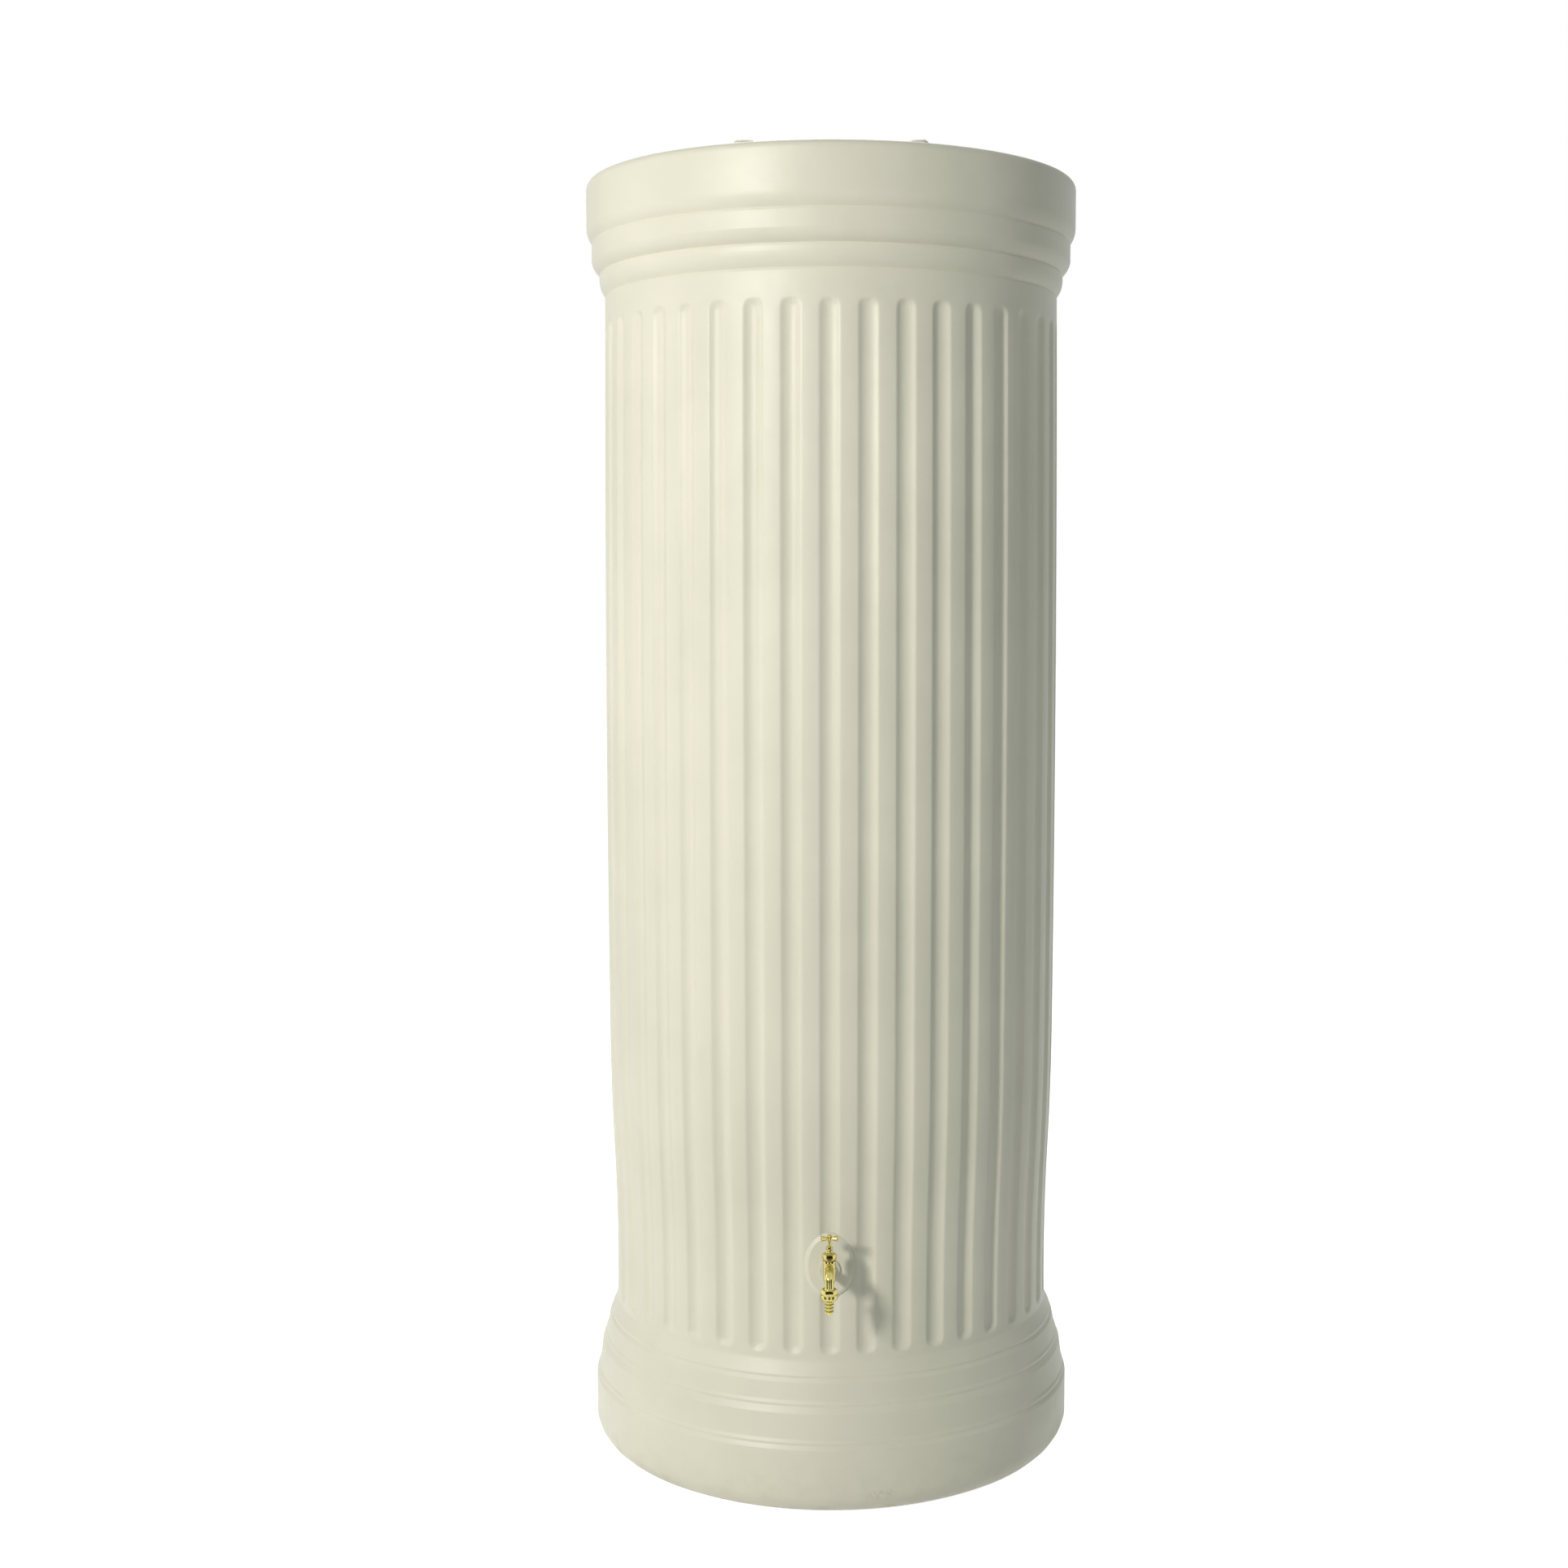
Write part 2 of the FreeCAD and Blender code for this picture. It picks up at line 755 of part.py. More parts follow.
def make_bonnet():
    """The headwork: a hexagon with a screwed skirt below, a neck above and the spindle's bores inside."""
    body = new_body("bonnet")
    base = bonnet_base()
    skirt_end = base - S.bonnet_skirt
    core = [
        (0, skirt_end),
        (S.chamber_radius - S.play, skirt_end),
        (S.chamber_radius - S.play, base),
        (S.bonnet_neck_radius, base + S.bonnet_hex_height),
        (S.bonnet_neck_radius, bonnet_top()),
        (0, bonnet_top()),
    ]
    turn(body, "skirt_and_neck", core)
    hexagon_sketch = draw(new_sketch(body, "hexagon_outline", "XY_Plane", base), hexagon(S.bonnet_flats))
    pad(body, "hexagon", hexagon_sketch, S.bonnet_hex_height)
    foot_top = skirt_end + S.foot_bore_depth
    thread_top = foot_top + S.thread_bore_depth
    bores = [
        (0, skirt_end),
        (S.foot_bore_radius, skirt_end),
        (S.foot_bore_radius, foot_top),
        (S.spindle_thread_radius + S.play, foot_top),
        (S.spindle_thread_radius + S.play, thread_top),
        (S.stem_radius + S.play, thread_top),
        (S.stem_radius + S.play, packing_floor()),
        (S.packing_bore_radius, packing_floor()),
        (S.packing_bore_radius, bonnet_top()),
        (0, bonnet_top()),
    ]
    turn(body, "bonnet_bores", bores, "PartDesign::Groove")
    return body


def make_gland_packing():
    inner, outer = S.stem_radius + S.play / 2, S.packing_bore_radius - S.play
    floor = packing_floor()
    return turned("gland_packing", ring_outline(inner, outer, floor, floor + S.packing_thickness))


def make_gland_ring():
    inner, outer = S.stem_radius + S.play, S.packing_bore_radius - S.play
    floor = packing_floor() + S.packing_thickness
    return turned("gland_ring", ring_outline(inner, outer, floor, floor + S.gland_ring_thickness))


def make_gland_nut():
    """A small hexagon with a hollow screw that presses the packing."""
    body = new_body("gland_nut")
    nose = packing_floor() + S.packing_thickness + S.gland_ring_thickness
    shoulder = bonnet_top() + S.gland_stand
    outer = S.packing_bore_radius - S.play
    turn(body, "gland_screw", ring_outline(0, outer, nose, shoulder))
    outline = draw(new_sketch(body, "gland_hexagon_outline", "XY_Plane", shoulder), hexagon(S.gland_flats))
    pad(body, "gland_hexagon", outline, S.gland_hex_height)
    bore = ring_outline(0, S.stem_radius + S.play, nose, shoulder + S.gland_hex_height)
    turn(body, "gland_bore", bore, "PartDesign::Groove")
    return body


# The valve on its seat and the spindle that lifts it


def plate_base():
    return S.seat_height + S.valve_washer_thickness


def spindle_base():
    return plate_base() + S.jumper_plate_thickness + S.spindle_rest


def make_valve_washer():
    inner = S.jumper_stud_radius + S.play
    outline = ring_outline(inner, S.valve_washer_radius, S.seat_height, plate_base())
    return turned("valve_washer", outline)


def make_valve_jumper():
    """Plate with a guide stem above and a stud below for the washer and its nut."""
    plate_top = plate_base() + S.jumper_plate_thickness
    outline = [
        (0, S.seat_height - S.jumper_nut_height - S.stud_stand),
        (S.jumper_stud_radius, S.seat_height - S.jumper_nut_height - S.stud_stand),
        (S.jumper_stud_radius, plate_base()),
        (S.jumper_plate_radius, plate_base()),
        (S.jumper_plate_radius, plate_top),
        (S.jumper_stem_radius, plate_top),
        (S.jumper_stem_radius, plate_top + S.jumper_stem_length),
        (0, plate_top + S.jumper_stem_length),
    ]
    return turned("valve_jumper", outline)


def make_jumper_nut():
    """The small nut that holds the washer on its stud."""
    body = new_body("jumper_nut")
    base = S.seat_height - S.jumper_nut_height
    outline = draw(new_sketch(body, "jumper_nut_outline", "XY_Plane", base), hexagon(S.jumper_nut_flats))
    pad(body, "jumper_nut_hexagon", outline, S.jumper_nut_height)
    hole = ring_outline(0, S.jumper_stud_radius + S.play, base, S.seat_height)
    turn(body, "jumper_nut_hole", hole, "PartDesign::Groove")
    return body


def make_spindle():
    """The screw spindle: socket foot, thread and long stem, cross-drilled in the handle's hub."""
    body = new_body("spindle")
    base = spindle_base()
    thread_base = base + S.spindle_foot_height
    thread_top = thread_base + S.spindle_thread_length
    stem_top = S.tee_height - S.tee_hub_drop + S.stem_in_hub
    outline = [
        (0, base),
        (S.spindle_foot_radius, base),
        (S.spindle_foot_radius, thread_base),
        (S.spindle_thread_radius, thread_base),
        (S.spindle_thread_radius, thread_top),
        (S.stem_radius, thread_top),
        (S.stem_radius, stem_top),
        (0, stem_top),
    ]
    turn(body, "stem_and_thread", outline)
    socket = ring_outline(0, S.jumper_stem_radius + S.play, base, base + S.jumper_stem_length + S.play)
    turn(body, "socket", socket, "PartDesign::Groove")
    drill_pin_hole(body)
    return body


def drill_pin_hole(body):
    """The cross hole for the handle's pin, along the tap's Y axis."""
    hole = draw_circle(new_sketch(body, "pin_hole_outline", "XZ_Plane"), 0, S.tee_height, S.pin_radius)
    pocket(body, "pin_hole", hole, S.tee_hub_radius * 4, both_ways=True)


def make_tee_handle():
    """A turned bar with flared ends and a round hub that takes the stem."""
    body = new_body("tee_handle")
    half = S.tee_length / 2
    flat = half - S.tee_end_length
    half_bar = [
        (S.tee_middle_radius, half - S.tee_flare - S.tee_end_length),
        (S.tee_end_radius, flat),
        (S.tee_end_radius, half - S.tee_edge),
        (S.tee_end_radius - S.tee_edge, half),
    ]
    mirrored = [(radius, -along) for radius, along in reversed(half_bar)]
    bar = [(0, -half)] + mirrored + half_bar + [(0, half)]
    turn_bar(body, bar)
    top = S.tee_height + S.tee_hub_rise
    bottom = S.tee_height - S.tee_hub_drop
    hub = [
        (0, bottom),
        (S.tee_hub_radius - S.tee_hub_taper, bottom),
        (S.tee_hub_radius, bottom + S.tee_hub_taper),
        (S.tee_hub_radius, top - S.tee_hub_radius / 2),
        (S.tee_hub_radius / 2, top, *QUARTER),
        (0, top),
    ]
    turn(body, "hub", hub)
    socket = ring_outline(0, S.stem_radius + S.play / 2, bottom, bottom + S.stem_in_hub + S.play)
    turn(body, "stem_socket", socket, "PartDesign::Groove")
    drill_pin_hole(body)
    return body


def turn_bar(body, outline):
    """Turns an outline of (radius, distance along X) about the bar's axis."""
    sketch = new_sketch(body, "bar_outline", "XZ_Plane")
    draw(sketch, [(along, radius + S.tee_height) for radius, along in outline])
    middle = new_sketch(body, "bar_axis", "XZ_Plane")
    draw(middle, [(-S.tee_length, S.tee_height), (S.tee_length, S.tee_height)], closed=False)
    bar = body.newObject("PartDesign::Revolution", "bar")
    bar.Profile = sketch
    bar.ReferenceAxis = (middle, ["Edge1"])
    bar.Angle = 360


def make_handle_pin():
    """The pin through the hub and the stem."""
    body = new_body("handle_pin")
    circle = draw_circle(new_sketch(body, "pin_outline", "XZ_Plane"), 0, S.tee_height, S.pin_radius)
    pad(body, "pin", circle, (S.tee_hub_radius + S.pin_stand) * 2, both_ways=True)
    return body


# The hose connector, heights from the inlet axis down the spout's own axis


def washer_bottom():
    return -(S.spout_end + S.hose_washer_thickness)


def make_hose_washer():
    outline = ring_outline(S.spout_bore, S.hose_washer_radius, washer_bottom(), -S.spout_end)
    return turned("hose_washer", outline)


def make_hose_tail():
    """Collar, neck and a row of barbs, each with a sharp upper edge and a tapered lower side."""
    body = new_body("hose_tail")
    top = washer_bottom()
    collar_under = top - S.tail_collar_height
    outline = [(S.tail_bore, top), (S.tail_collar_radius, top), (S.tail_collar_radius, collar_under)]
    outline.append((S.tail_neck_radius, collar_under))
    for count in range(int(S.barb_count.value)):
        edge = collar_under - S.tail_neck_length - S.barb_pitch * count
        outline += [
            (S.tail_neck_radius, edge),
            (S.barb_radius, edge),
            (S.barb_radius, edge - S.barb_land),
        ]
    tip = collar_under - S.tail_neck_length - S.barb_pitch * S.barb_count
    outline += [(S.tail_neck_radius, tip), (S.tail_bore, tip)]
    turn(body, "tail", outline[::-1])
    return body


def make_union_nut():
    """Coupling nut: bevelled hexagon above, round rolled flange below, thread bore and lip inside."""
    body = new_body("union_nut")
    top = -S.nut_top
    bottom = top - S.nut_length
    hex_bottom = top - S.nut_hex_height
    flange = [
        (0, bottom),
        (S.nut_flange_radius - S.nut_flange_round, bottom),
        (S.nut_flange_radius, bottom + S.nut_flange_round, *QUARTER),
        (S.nut_flange_radius, hex_bottom),
        (0, hex_bottom),
    ]
    turn(body, "flange", flange)
    outline = draw(new_sketch(body, "nut_hexagon_outline", "XY_Plane", hex_bottom), hexagon(S.nut_flats))
    pad(body, "nut_hexagon", outline, S.nut_hex_height)
    corner = S.nut_flats / math.sqrt(3)
    slope = S.nut_chamfer_rise / (corner - S.nut_chamfer_radius)
    outside = corner + S.nut_chamfer_rise
    bevel = [
        (S.nut_chamfer_radius, top),
        (outside, top),
        (outside, top - (outside - S.nut_chamfer_radius) * slope),
    ]
    turn(body, "nut_bevel", bevel, "PartDesign::Groove")
    lip_top = bottom + S.nut_lip
    bores = [
        (0, bottom),
        (S.nut_lip_radius, bottom),
        (S.nut_lip_radius, lip_top),
        (S.spout_thread_radius + S.thread_play, lip_top),
        (S.spout_thread_radius + S.thread_play, top),
        (0, top),
    ]
    turn(body, "nut_bores", bores, "PartDesign::Groove")
    return body


# The screw lid on the filler neck, heights from the top of the neck


def make_lid_seal():
    inner = S.neck_radius - S.neck_wall + S.lid_seal_margin
    return turned("lid_seal", ring_outline(inner, inner + S.lid_seal_width, 0, S.lid_seal_thickness))


def make_lid():
    """A shallow cap with two hollow-looking grips that stand up at its left and right."""
    body = new_body("lid")
    ceiling = S.lid_seal_thickness
    top = ceiling + S.lid_plate
    inner = S.lid_radius - S.lid_wall
    cap = [
        (0, ceiling),
        (inner, ceiling),
        (inner, ceiling - S.lid_skirt),
        (S.lid_radius, ceiling - S.lid_skirt),
        (S.lid_radius, top - S.lid_round),
        (S.lid_radius - S.lid_round, top, *QUARTER),
        (0, top),
    ]
    turn(body, "cap", cap)
    crest = top + S.grip_height
    foot = top - S.lid_plate / 2
    grip = [
        (S.grip_inner, foot),
        (S.grip_outer - S.lid_round, foot),
        (S.grip_outer - S.lid_round, top),
        (S.grip_crest + S.grip_round, crest - S.grip_round),
        (S.grip_crest, crest, *QUARTER),
        (S.grip_inner + S.grip_round, crest - S.grip_slope),
        (S.grip_inner, crest - S.grip_slope - S.grip_round, *QUARTER),
    ]
    for name, side in (("right_grip", 1), ("left_grip", -1)):
        corners = [(x * side, y, *([bow[0] * side, bow[1]] if bow else [])) for x, y, *bow in grip]
        sketch = draw(new_sketch(body, f"{name}_outline", "XZ_Plane"), corners)
        pad(body, name, sketch, S.grip_length, both_ways=True)
    return body


# Building, placing and checking

PIECES = {
    "tank_body": make_tank_body,
    "threaded_insert": make_threaded_insert,
    "tap_seal": make_tap_seal,
    "tap_body": make_tap_body,
    "bonnet_gasket": make_bonnet_gasket,
    "bonnet": make_bonnet,
    "gland_packing": make_gland_packing,
    "gland_ring": make_gland_ring,
    "gland_nut": make_gland_nut,
    "valve_washer": make_valve_washer,
    "valve_jumper": make_valve_jumper,
    "jumper_nut": make_jumper_nut,
    "spindle": make_spindle,
    "tee_handle": make_tee_handle,
    "handle_pin": make_handle_pin,
    "hose_washer": make_hose_washer,
    "hose_tail": make_hose_tail,
    "union_nut": make_union_nut,
    "lid_seal": make_lid_seal,
    "lid": make_lid,
}
ON_THE_TANK = ("tank_body", "threaded_insert", "tap_seal")
ON_THE_NECK = ("lid_seal", "lid")
ON_THE_SPOUT = ("hose_washer", "hose_tail", "union_nut")

bodies = {name: make() for name, make in PIECES.items()}
barrel_y = -(pad_face + S.tap_reach)
for name, body in bodies.items():
    if name in ON_THE_NECK:
        place(body, z=S.rim_height - S.deck_drop + S.neck_rise)
    elif name in ON_THE_SPOUT:
        place(body, y=barrel_y - S.spout_reach, z=S.tap_height)
    elif name not in ON_THE_TANK:
        place(body, y=barrel_y, z=S.tap_height)
doc.recompute()

for item in doc.Objects:
    if "Invalid" in item.State or "Error" in item.State:
        raise RuntimeError(f"{item.Name} could not be made: {item.State}")
for name, body in bodies.items():
    if body.Shape.isNull() or not body.Shape.isValid() or len(body.Shape.Solids) != 1:
        raise RuntimeError(f"{name} is not one valid solid")

os.makedirs("parts", exist_ok=True)
for name, body in bodies.items():
    body.Shape.exportStep(f"parts/{name}.step")
    print(name, round(body.Shape.Volume, 1), len(body.Shape.Faces))
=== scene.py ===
"""Dresses the solids of a fluted column water tank and its brass tap for rendering."""

import math
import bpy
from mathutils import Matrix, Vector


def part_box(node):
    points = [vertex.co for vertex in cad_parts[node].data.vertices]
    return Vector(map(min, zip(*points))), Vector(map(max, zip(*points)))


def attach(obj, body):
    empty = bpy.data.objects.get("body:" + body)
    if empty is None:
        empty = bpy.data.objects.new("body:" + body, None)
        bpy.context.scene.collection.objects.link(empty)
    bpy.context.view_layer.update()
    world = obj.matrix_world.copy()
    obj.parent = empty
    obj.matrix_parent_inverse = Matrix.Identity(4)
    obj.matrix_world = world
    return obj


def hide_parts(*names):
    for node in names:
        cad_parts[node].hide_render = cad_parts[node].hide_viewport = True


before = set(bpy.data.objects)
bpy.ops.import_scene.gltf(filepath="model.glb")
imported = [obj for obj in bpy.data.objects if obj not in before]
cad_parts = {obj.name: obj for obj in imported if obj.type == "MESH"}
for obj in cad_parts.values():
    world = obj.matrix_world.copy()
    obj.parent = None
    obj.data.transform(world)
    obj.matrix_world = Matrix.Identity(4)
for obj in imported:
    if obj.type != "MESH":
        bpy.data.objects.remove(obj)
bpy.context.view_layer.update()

import types

import bmesh
import bpy
from mathutils import Matrix, Vector

bl_info = {
    "name": "Column water tank",
    "version": (1, 0, 0),
    "blender": (4, 5, 0),
    "location": "View3D > Sidebar > Water tank",
    "description": "Builds the moulded column tank, its lid and its brass tap round the solids",
    "category": "Object",
}

MM = 0.001


def node_low(node):
    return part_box(node)[0]


def node_high(node):
    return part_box(node)[1]


def node_middle(node):
    low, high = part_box(node)
    return (low + high) / 2


# Where the tap's three axes and the filler neck lie
BARREL_FOOT = Vector((0, node_middle("bonnet").y, node_middle("tap_seal").z))
SPOUT_FOOT = Vector((0, node_middle("union_nut").y, node_middle("tap_seal").z))
PAD_FACE = Vector((0, node_high("tap_seal").y, node_middle("tap_seal").z))
NECK_TOP = Vector((0, 0, node_low("lid_seal").z))
NECK_OVER_RIM = 22.5
RIM_HEIGHT = NECK_TOP.z / MM - NECK_OVER_RIM


# Sizes and colours that a user would change


def measure(name, description, value, **settings):
    return bpy.props.FloatProperty(name=name, description=description, default=value, **settings)


def mm(name, description, value):
    return measure(name, description, value * MM, unit="LENGTH", precision=4)


def ring(name, description, radius, height):
    return bpy.props.FloatVectorProperty(
        name=name, description=description + ": radius and height",
        default=(radius * MM, height * MM), size=2, unit="LENGTH", precision=4,
    )


def colour(name, description, value):
    return bpy.props.FloatVectorProperty(
        name=name, description=description, default=value, subtype="COLOR", min=0, max=1
    )


def degrees(name, description, value):
    return measure(name, description, math.radians(value), unit="ROTATION")


def watts(name, description, value):
    return measure(name, description, value, unit="POWER")


def share(name, description, value):
    return measure(name, description, value, subtype="FACTOR", min=0, max=1)


def count(name, description, value, least=3):
    return bpy.props.IntProperty(name=name, description=description, default=value, min=least)


class ColumnSizes(bpy.types.PropertyGroup):
    """Rings of the moulded column from the foot to the rim, and its flutes."""

    plinth: mm("Plinth radius", "Outer radius of the foot", node_high("tank_body").x / MM)
    foot_round: mm("Foot rounding", "Height of the rounding under the plinth", 30)
    foot_reach: mm("Foot reach", "How far that rounding reaches inwards", 43)
    plinth_height: mm("Plinth height", "Top of the plinth's upright side", 81.5)
    crease: ring("Plinth crease", "Groove above the plinth", 294.4, 87.5)
    low_torus: ring("Lower ring", "Crease above the lower swelling ring", 285.3, 130)
    high_torus: ring("Upper ring", "Crease above the upper swelling ring", 276.9, 160.5)
    shaft_foot: ring("Shaft foot", "Where the shaft begins", 269.8, 178)
    waist: ring("Waist", "Waist of the shaft", 272.7, 366)
    belly: ring("Belly", "Where the shaft is full again", 277, 521)
    shaft_top: ring("Shaft top", "Where the capital begins", 275.1, 1415.5)
    low_band: ring("Lower band", "Upper crease of the capital's lowest band", 281.9, 1441.5)
    middle_band: ring("Middle band", "Upper crease of the middle band", 291, 1478.5)
    rim_round: mm("Rim rounding", "Radius of the capital's upper edge", 9)
    deck_drop: mm("Deck drop", "How far the deck lies below the rim", 8)
    wall: mm("Wall", "Thickness of the moulded wall", 7.5)
    crease_round: mm("Crease rounding", "Radius in the grooves between the rings", 0.7)
    flute_count: count("Flutes", "Number of flutes", 40)
    flute_width: mm("Flute width", "Width of one flute", 22)
    flute_depth: mm("Flute depth", "Depth of one flute", 4.5)
    flute_low: mm("Flute foot", "Height of the flutes' lower tips", 185)
    flute_high: mm("Flute head", "Height of the flutes' upper tips", 1383)
    flute_edge: mm("Flute edge", "Softness of the flutes' edges", 1.0)
    neck: mm("Neck radius", "Outer radius of the filler neck", 109)
    neck_wall: mm("Neck wall", "Thickness of the filler neck", 7)
    pad_width: mm("Pad width", "Width of the oval pad behind the tap", 58)
    pad_tall: mm("Pad height", "Height of the oval pad", 75.5)
    pad_rise: mm("Pad rise", "How far the pad's middle lies above the inlet", 3.4)
    pad_depth: mm("Pad depth", "Depth of the pad to its root in the wall", 11.5)
    pad_round: mm("Pad bevel", "Width of the bevel round the pad's face", 4.6)


class LidSizes(bpy.types.PropertyGroup):
    """The screw lid over the filler neck, from the neck's top."""

    radius: mm("Lid radius", "Outer radius of the lid", 118)
    wall: mm("Lid wall", "Thickness of the skirt", 5)
    ceiling: mm("Lid ceiling", "Underside of the plate above the neck's top", 3)
    top: mm("Lid top", "Top of the plate above the neck's top", 7)
    skirt: mm("Skirt end", "Lower edge of the skirt below the neck's top", 24)
    edge_round: mm("Edge rounding", "Radius of the upper edge", 5)
    rib_count: count("Ribs", "Grip ribs round the skirt", 72)
    rib_depth: mm("Rib depth", "Depth of the grooves between the ribs", 1.4)
    grip_inner: mm("Grip inner side", "Distance of the grip's inner side from the middle", 89)
    grip_outer: mm("Grip outer side", "Distance of the grip's outer side from the middle", 122)
    grip_crest: mm("Grip crest", "Top of the grips above the neck's top", 36.5)
    grip_length: mm("Grip length", "Length of a grip", 52)


class TapSizes(bpy.types.PropertyGroup):
    """The brass tap, heights counted from the inlet's axis."""

    barrel: mm("Barrel radius", "Outer radius of the barrel", 7)
    barrel_top: mm("Barrel top", "Top of the barrel", 21.4)
    bead: mm("Bead radius", "Radius of the bead at the barrel's top", 7.6)
    chamber: mm("Chamber radius", "Radius of the valve chamber", 5.35)
    chamber_floor: mm("Chamber floor", "Depth of the chamber below the inlet's axis", 4)
    inlet: mm("Inlet radius", "Outer radius of the inlet's neck", 5.8)
    inlet_reach: mm("Inlet reach", "From the barrel's axis to the back of the collar", 33)
    inlet_collar: mm("Inlet collar radius", "Radius of the collar on the washer", 7.5)
    inlet_collar_width: mm("Inlet collar width", "Width of that collar", 3)
    thread: mm("Thread radius", "Outer radius of inlet and hose threads", 6.5)
    thread_length: mm("Inlet thread length", "Length of the inlet's thread", 13)
    thread_pitch: mm("Thread pitch", "Pitch of the threads", 1.337)
    thread_depth: mm("Thread depth", "Depth of the threads", 0.6)
    spout: mm("Spout radius", "Outer radius of the spout", 5)
    spout_height: mm("Spout height", "Height at which the spout leaves the barrel", 12.5)
    spout_reach: mm("Spout reach", "From the barrel's axis to the spout's", 26)
    spout_bend: mm("Spout bend", "Radius of the spout's bend", 9)
    spout_thread_top: mm("Hose thread top", "Depth of the hose thread's upper end", 4)
    spout_end: mm("Spout end", "Depth of the spout's lower end", 11.5)
    bore: mm("Bore", "Radius of the inlet's and the spout's bore", 3)
    bonnet_flats: mm("Bonnet across flats", "Width of the bonnet's hexagon", 14)
    bonnet_hex_top: mm("Bonnet hexagon top", "Top of the bonnet's hexagon", 29.4)
    bonnet_neck: mm("Bonnet neck radius", "Radius above the hexagon", 3.7)
    bonnet_top: mm("Bonnet top", "Top of the bonnet", 33.9)
    gland_flats: mm("Gland across flats", "Width of the gland nut", 6.6)
    gland_top: mm("Gland top", "Top of the gland nut", 37.2)
    stem: mm("Stem radius", "Radius of the spindle's stem", 1.9)
    tee_height: mm("Handle height", "Height of the handle's bar", 46.5)
    tee_length: mm("Handle length", "Length of the handle's bar", 19.8)
    tee_middle: mm("Handle bar radius", "Radius of the bar beside the hub", 1.6)
    tee_end: mm("Handle end radius", "Radius of the bar's flared ends", 3.1)
    hub: mm("Hub radius", "Radius of the handle's hub", 2.8)
    hub_drop: mm("Hub drop", "Underside of the hub below the bar's axis", 4)
    hub_rise: mm("Hub rise", "Top of the hub above the bar's axis", 4.2)
    pin: mm("Pin radius", "Radius of the pin through the hub", 0.8)
    nut_top: mm("Coupling nut top", "Depth of the coupling nut's upper face", 3)
    nut_length: mm("Coupling nut length", "Length of the coupling nut", 12.4)
    nut_flats: mm("Coupling nut across flats", "Width of its hexagon", 16.4)
    nut_hex: mm("Coupling nut hexagon", "Height of its hexagon", 5.6)
    nut_flange: mm("Coupling nut flange", "Radius of its rolled flange", 9.5)
    tail_collar: mm("Tail collar radius", "Radius of the collar inside the nut", 6.3)
    tail_neck: mm("Tail neck radius", "Radius between the barbs", 3.3)
    barb: mm("Barb radius", "Radius of the barbs' edges", 5.1)
    barb_pitch: mm("Barb pitch", "Distance from barb to barb", 3.9)
    barb_count: count("Barbs", "Number of barbs", 4, 1)
    edge: mm("Machined edge", "Width of the small chamfers on machined edges", 0.16)


class Finishes(bpy.types.PropertyGroup):
    """Colours and gloss of the materials."""

    cream: colour("Plastic", "Colour of the moulded tank", (0.72, 0.685, 0.565))
    cream_shade: colour("Plastic in hollows", "Darker tone of the plastic", (0.67, 0.64, 0.525))
    dust: colour("Dust", "Dust at the foot", (0.47, 0.43, 0.34))
    gloss: share("Plastic roughness", "Roughness of the moulded plastic", 0.46)
    brass: colour("Brass", "Clean polished brass", (0.56, 0.48, 0.16))
    tarnish: colour("Tarnish", "Tarnished brass", (0.35, 0.29, 0.10))
    polish: share("Brass roughness", "Roughness of polished brass", 0.11)
    pale_washer: colour("Tap washer", "Pale washer between the tap and the pad", (0.66, 0.63, 0.53))
    fibre: colour("Fibre washer", "Fibre under the bonnet", (0.45, 0.30, 0.18))
    packing: colour("Packing", "Greased cord in the gland", (0.45, 0.41, 0.32))
    rubber: colour("Rubber", "Black rubber", (0.025, 0.025, 0.027))


class StageSizes(bpy.types.PropertyGroup):
    """Camera, lamps and floor."""

    distance: mm("Camera distance", "From the column's axis to the camera", 2693)
    height: mm("Camera height", "Height of the camera", 1055)
    azimuth: degrees("Camera azimuth", "Angle to the right of the tap", 0.35)
    tilt: degrees("Camera tilt", "How far the camera looks down", 4.97)
    lens: measure("Lens", "Focal length for a 36 mm sensor", 49.70)
    shift_x: measure("Shift across", "Sideways shift", -0.0300)
    key: watts("Key lamp", "Power of the main lamp, in front on the left", 98)
    fill: watts("Fill lamp", "Power of the weak lamp on the right", 4)
    rear: watts("Rear lamp", "Power of the lamp above and behind", 38)
    surround: share("Surround", "Strength of the light from all round", 0.23)
    surround_shade: colour("Surround shade", "Colour of that light", (0.86, 1.0, 0.98))


def in_mm(name):
    """The lengths of one of the scene's groups in millimetres, with its counts as they are."""
    group = getattr(bpy.context.scene, name)
    values = {}
    for key in group.__annotations__:
        value = getattr(group, key)
        if isinstance(value, float):
            value /= MM
        elif not isinstance(value, int):
            value = tuple(part / MM for part in value)
        values[key] = value
    return types.SimpleNamespace(**values)


# Outlines

# The bulge of a quarter circle
QUARTER = math.tan(math.pi / 8)


def bow(start, end, bulge, steps):
    """Points between the ends of an arc, bulge being the tangent of a quarter of its angle."""
    sweep = 4 * math.atan(bulge)
    width = 2 * math.sin(sweep / 2)
    dx, dy = end[0] - start[0], end[1] - start[1]
    points = []
    for step in range(1, steps):
        angle = sweep * (0.5 - step / steps)
        along = 0.5 - math.sin(angle) / width
        aside = (math.cos(angle) - math.cos(sweep / 2)) / width
        points.append((start[0] + dx * along + dy * aside, start[1] + dy * along - dx * aside))
    return points


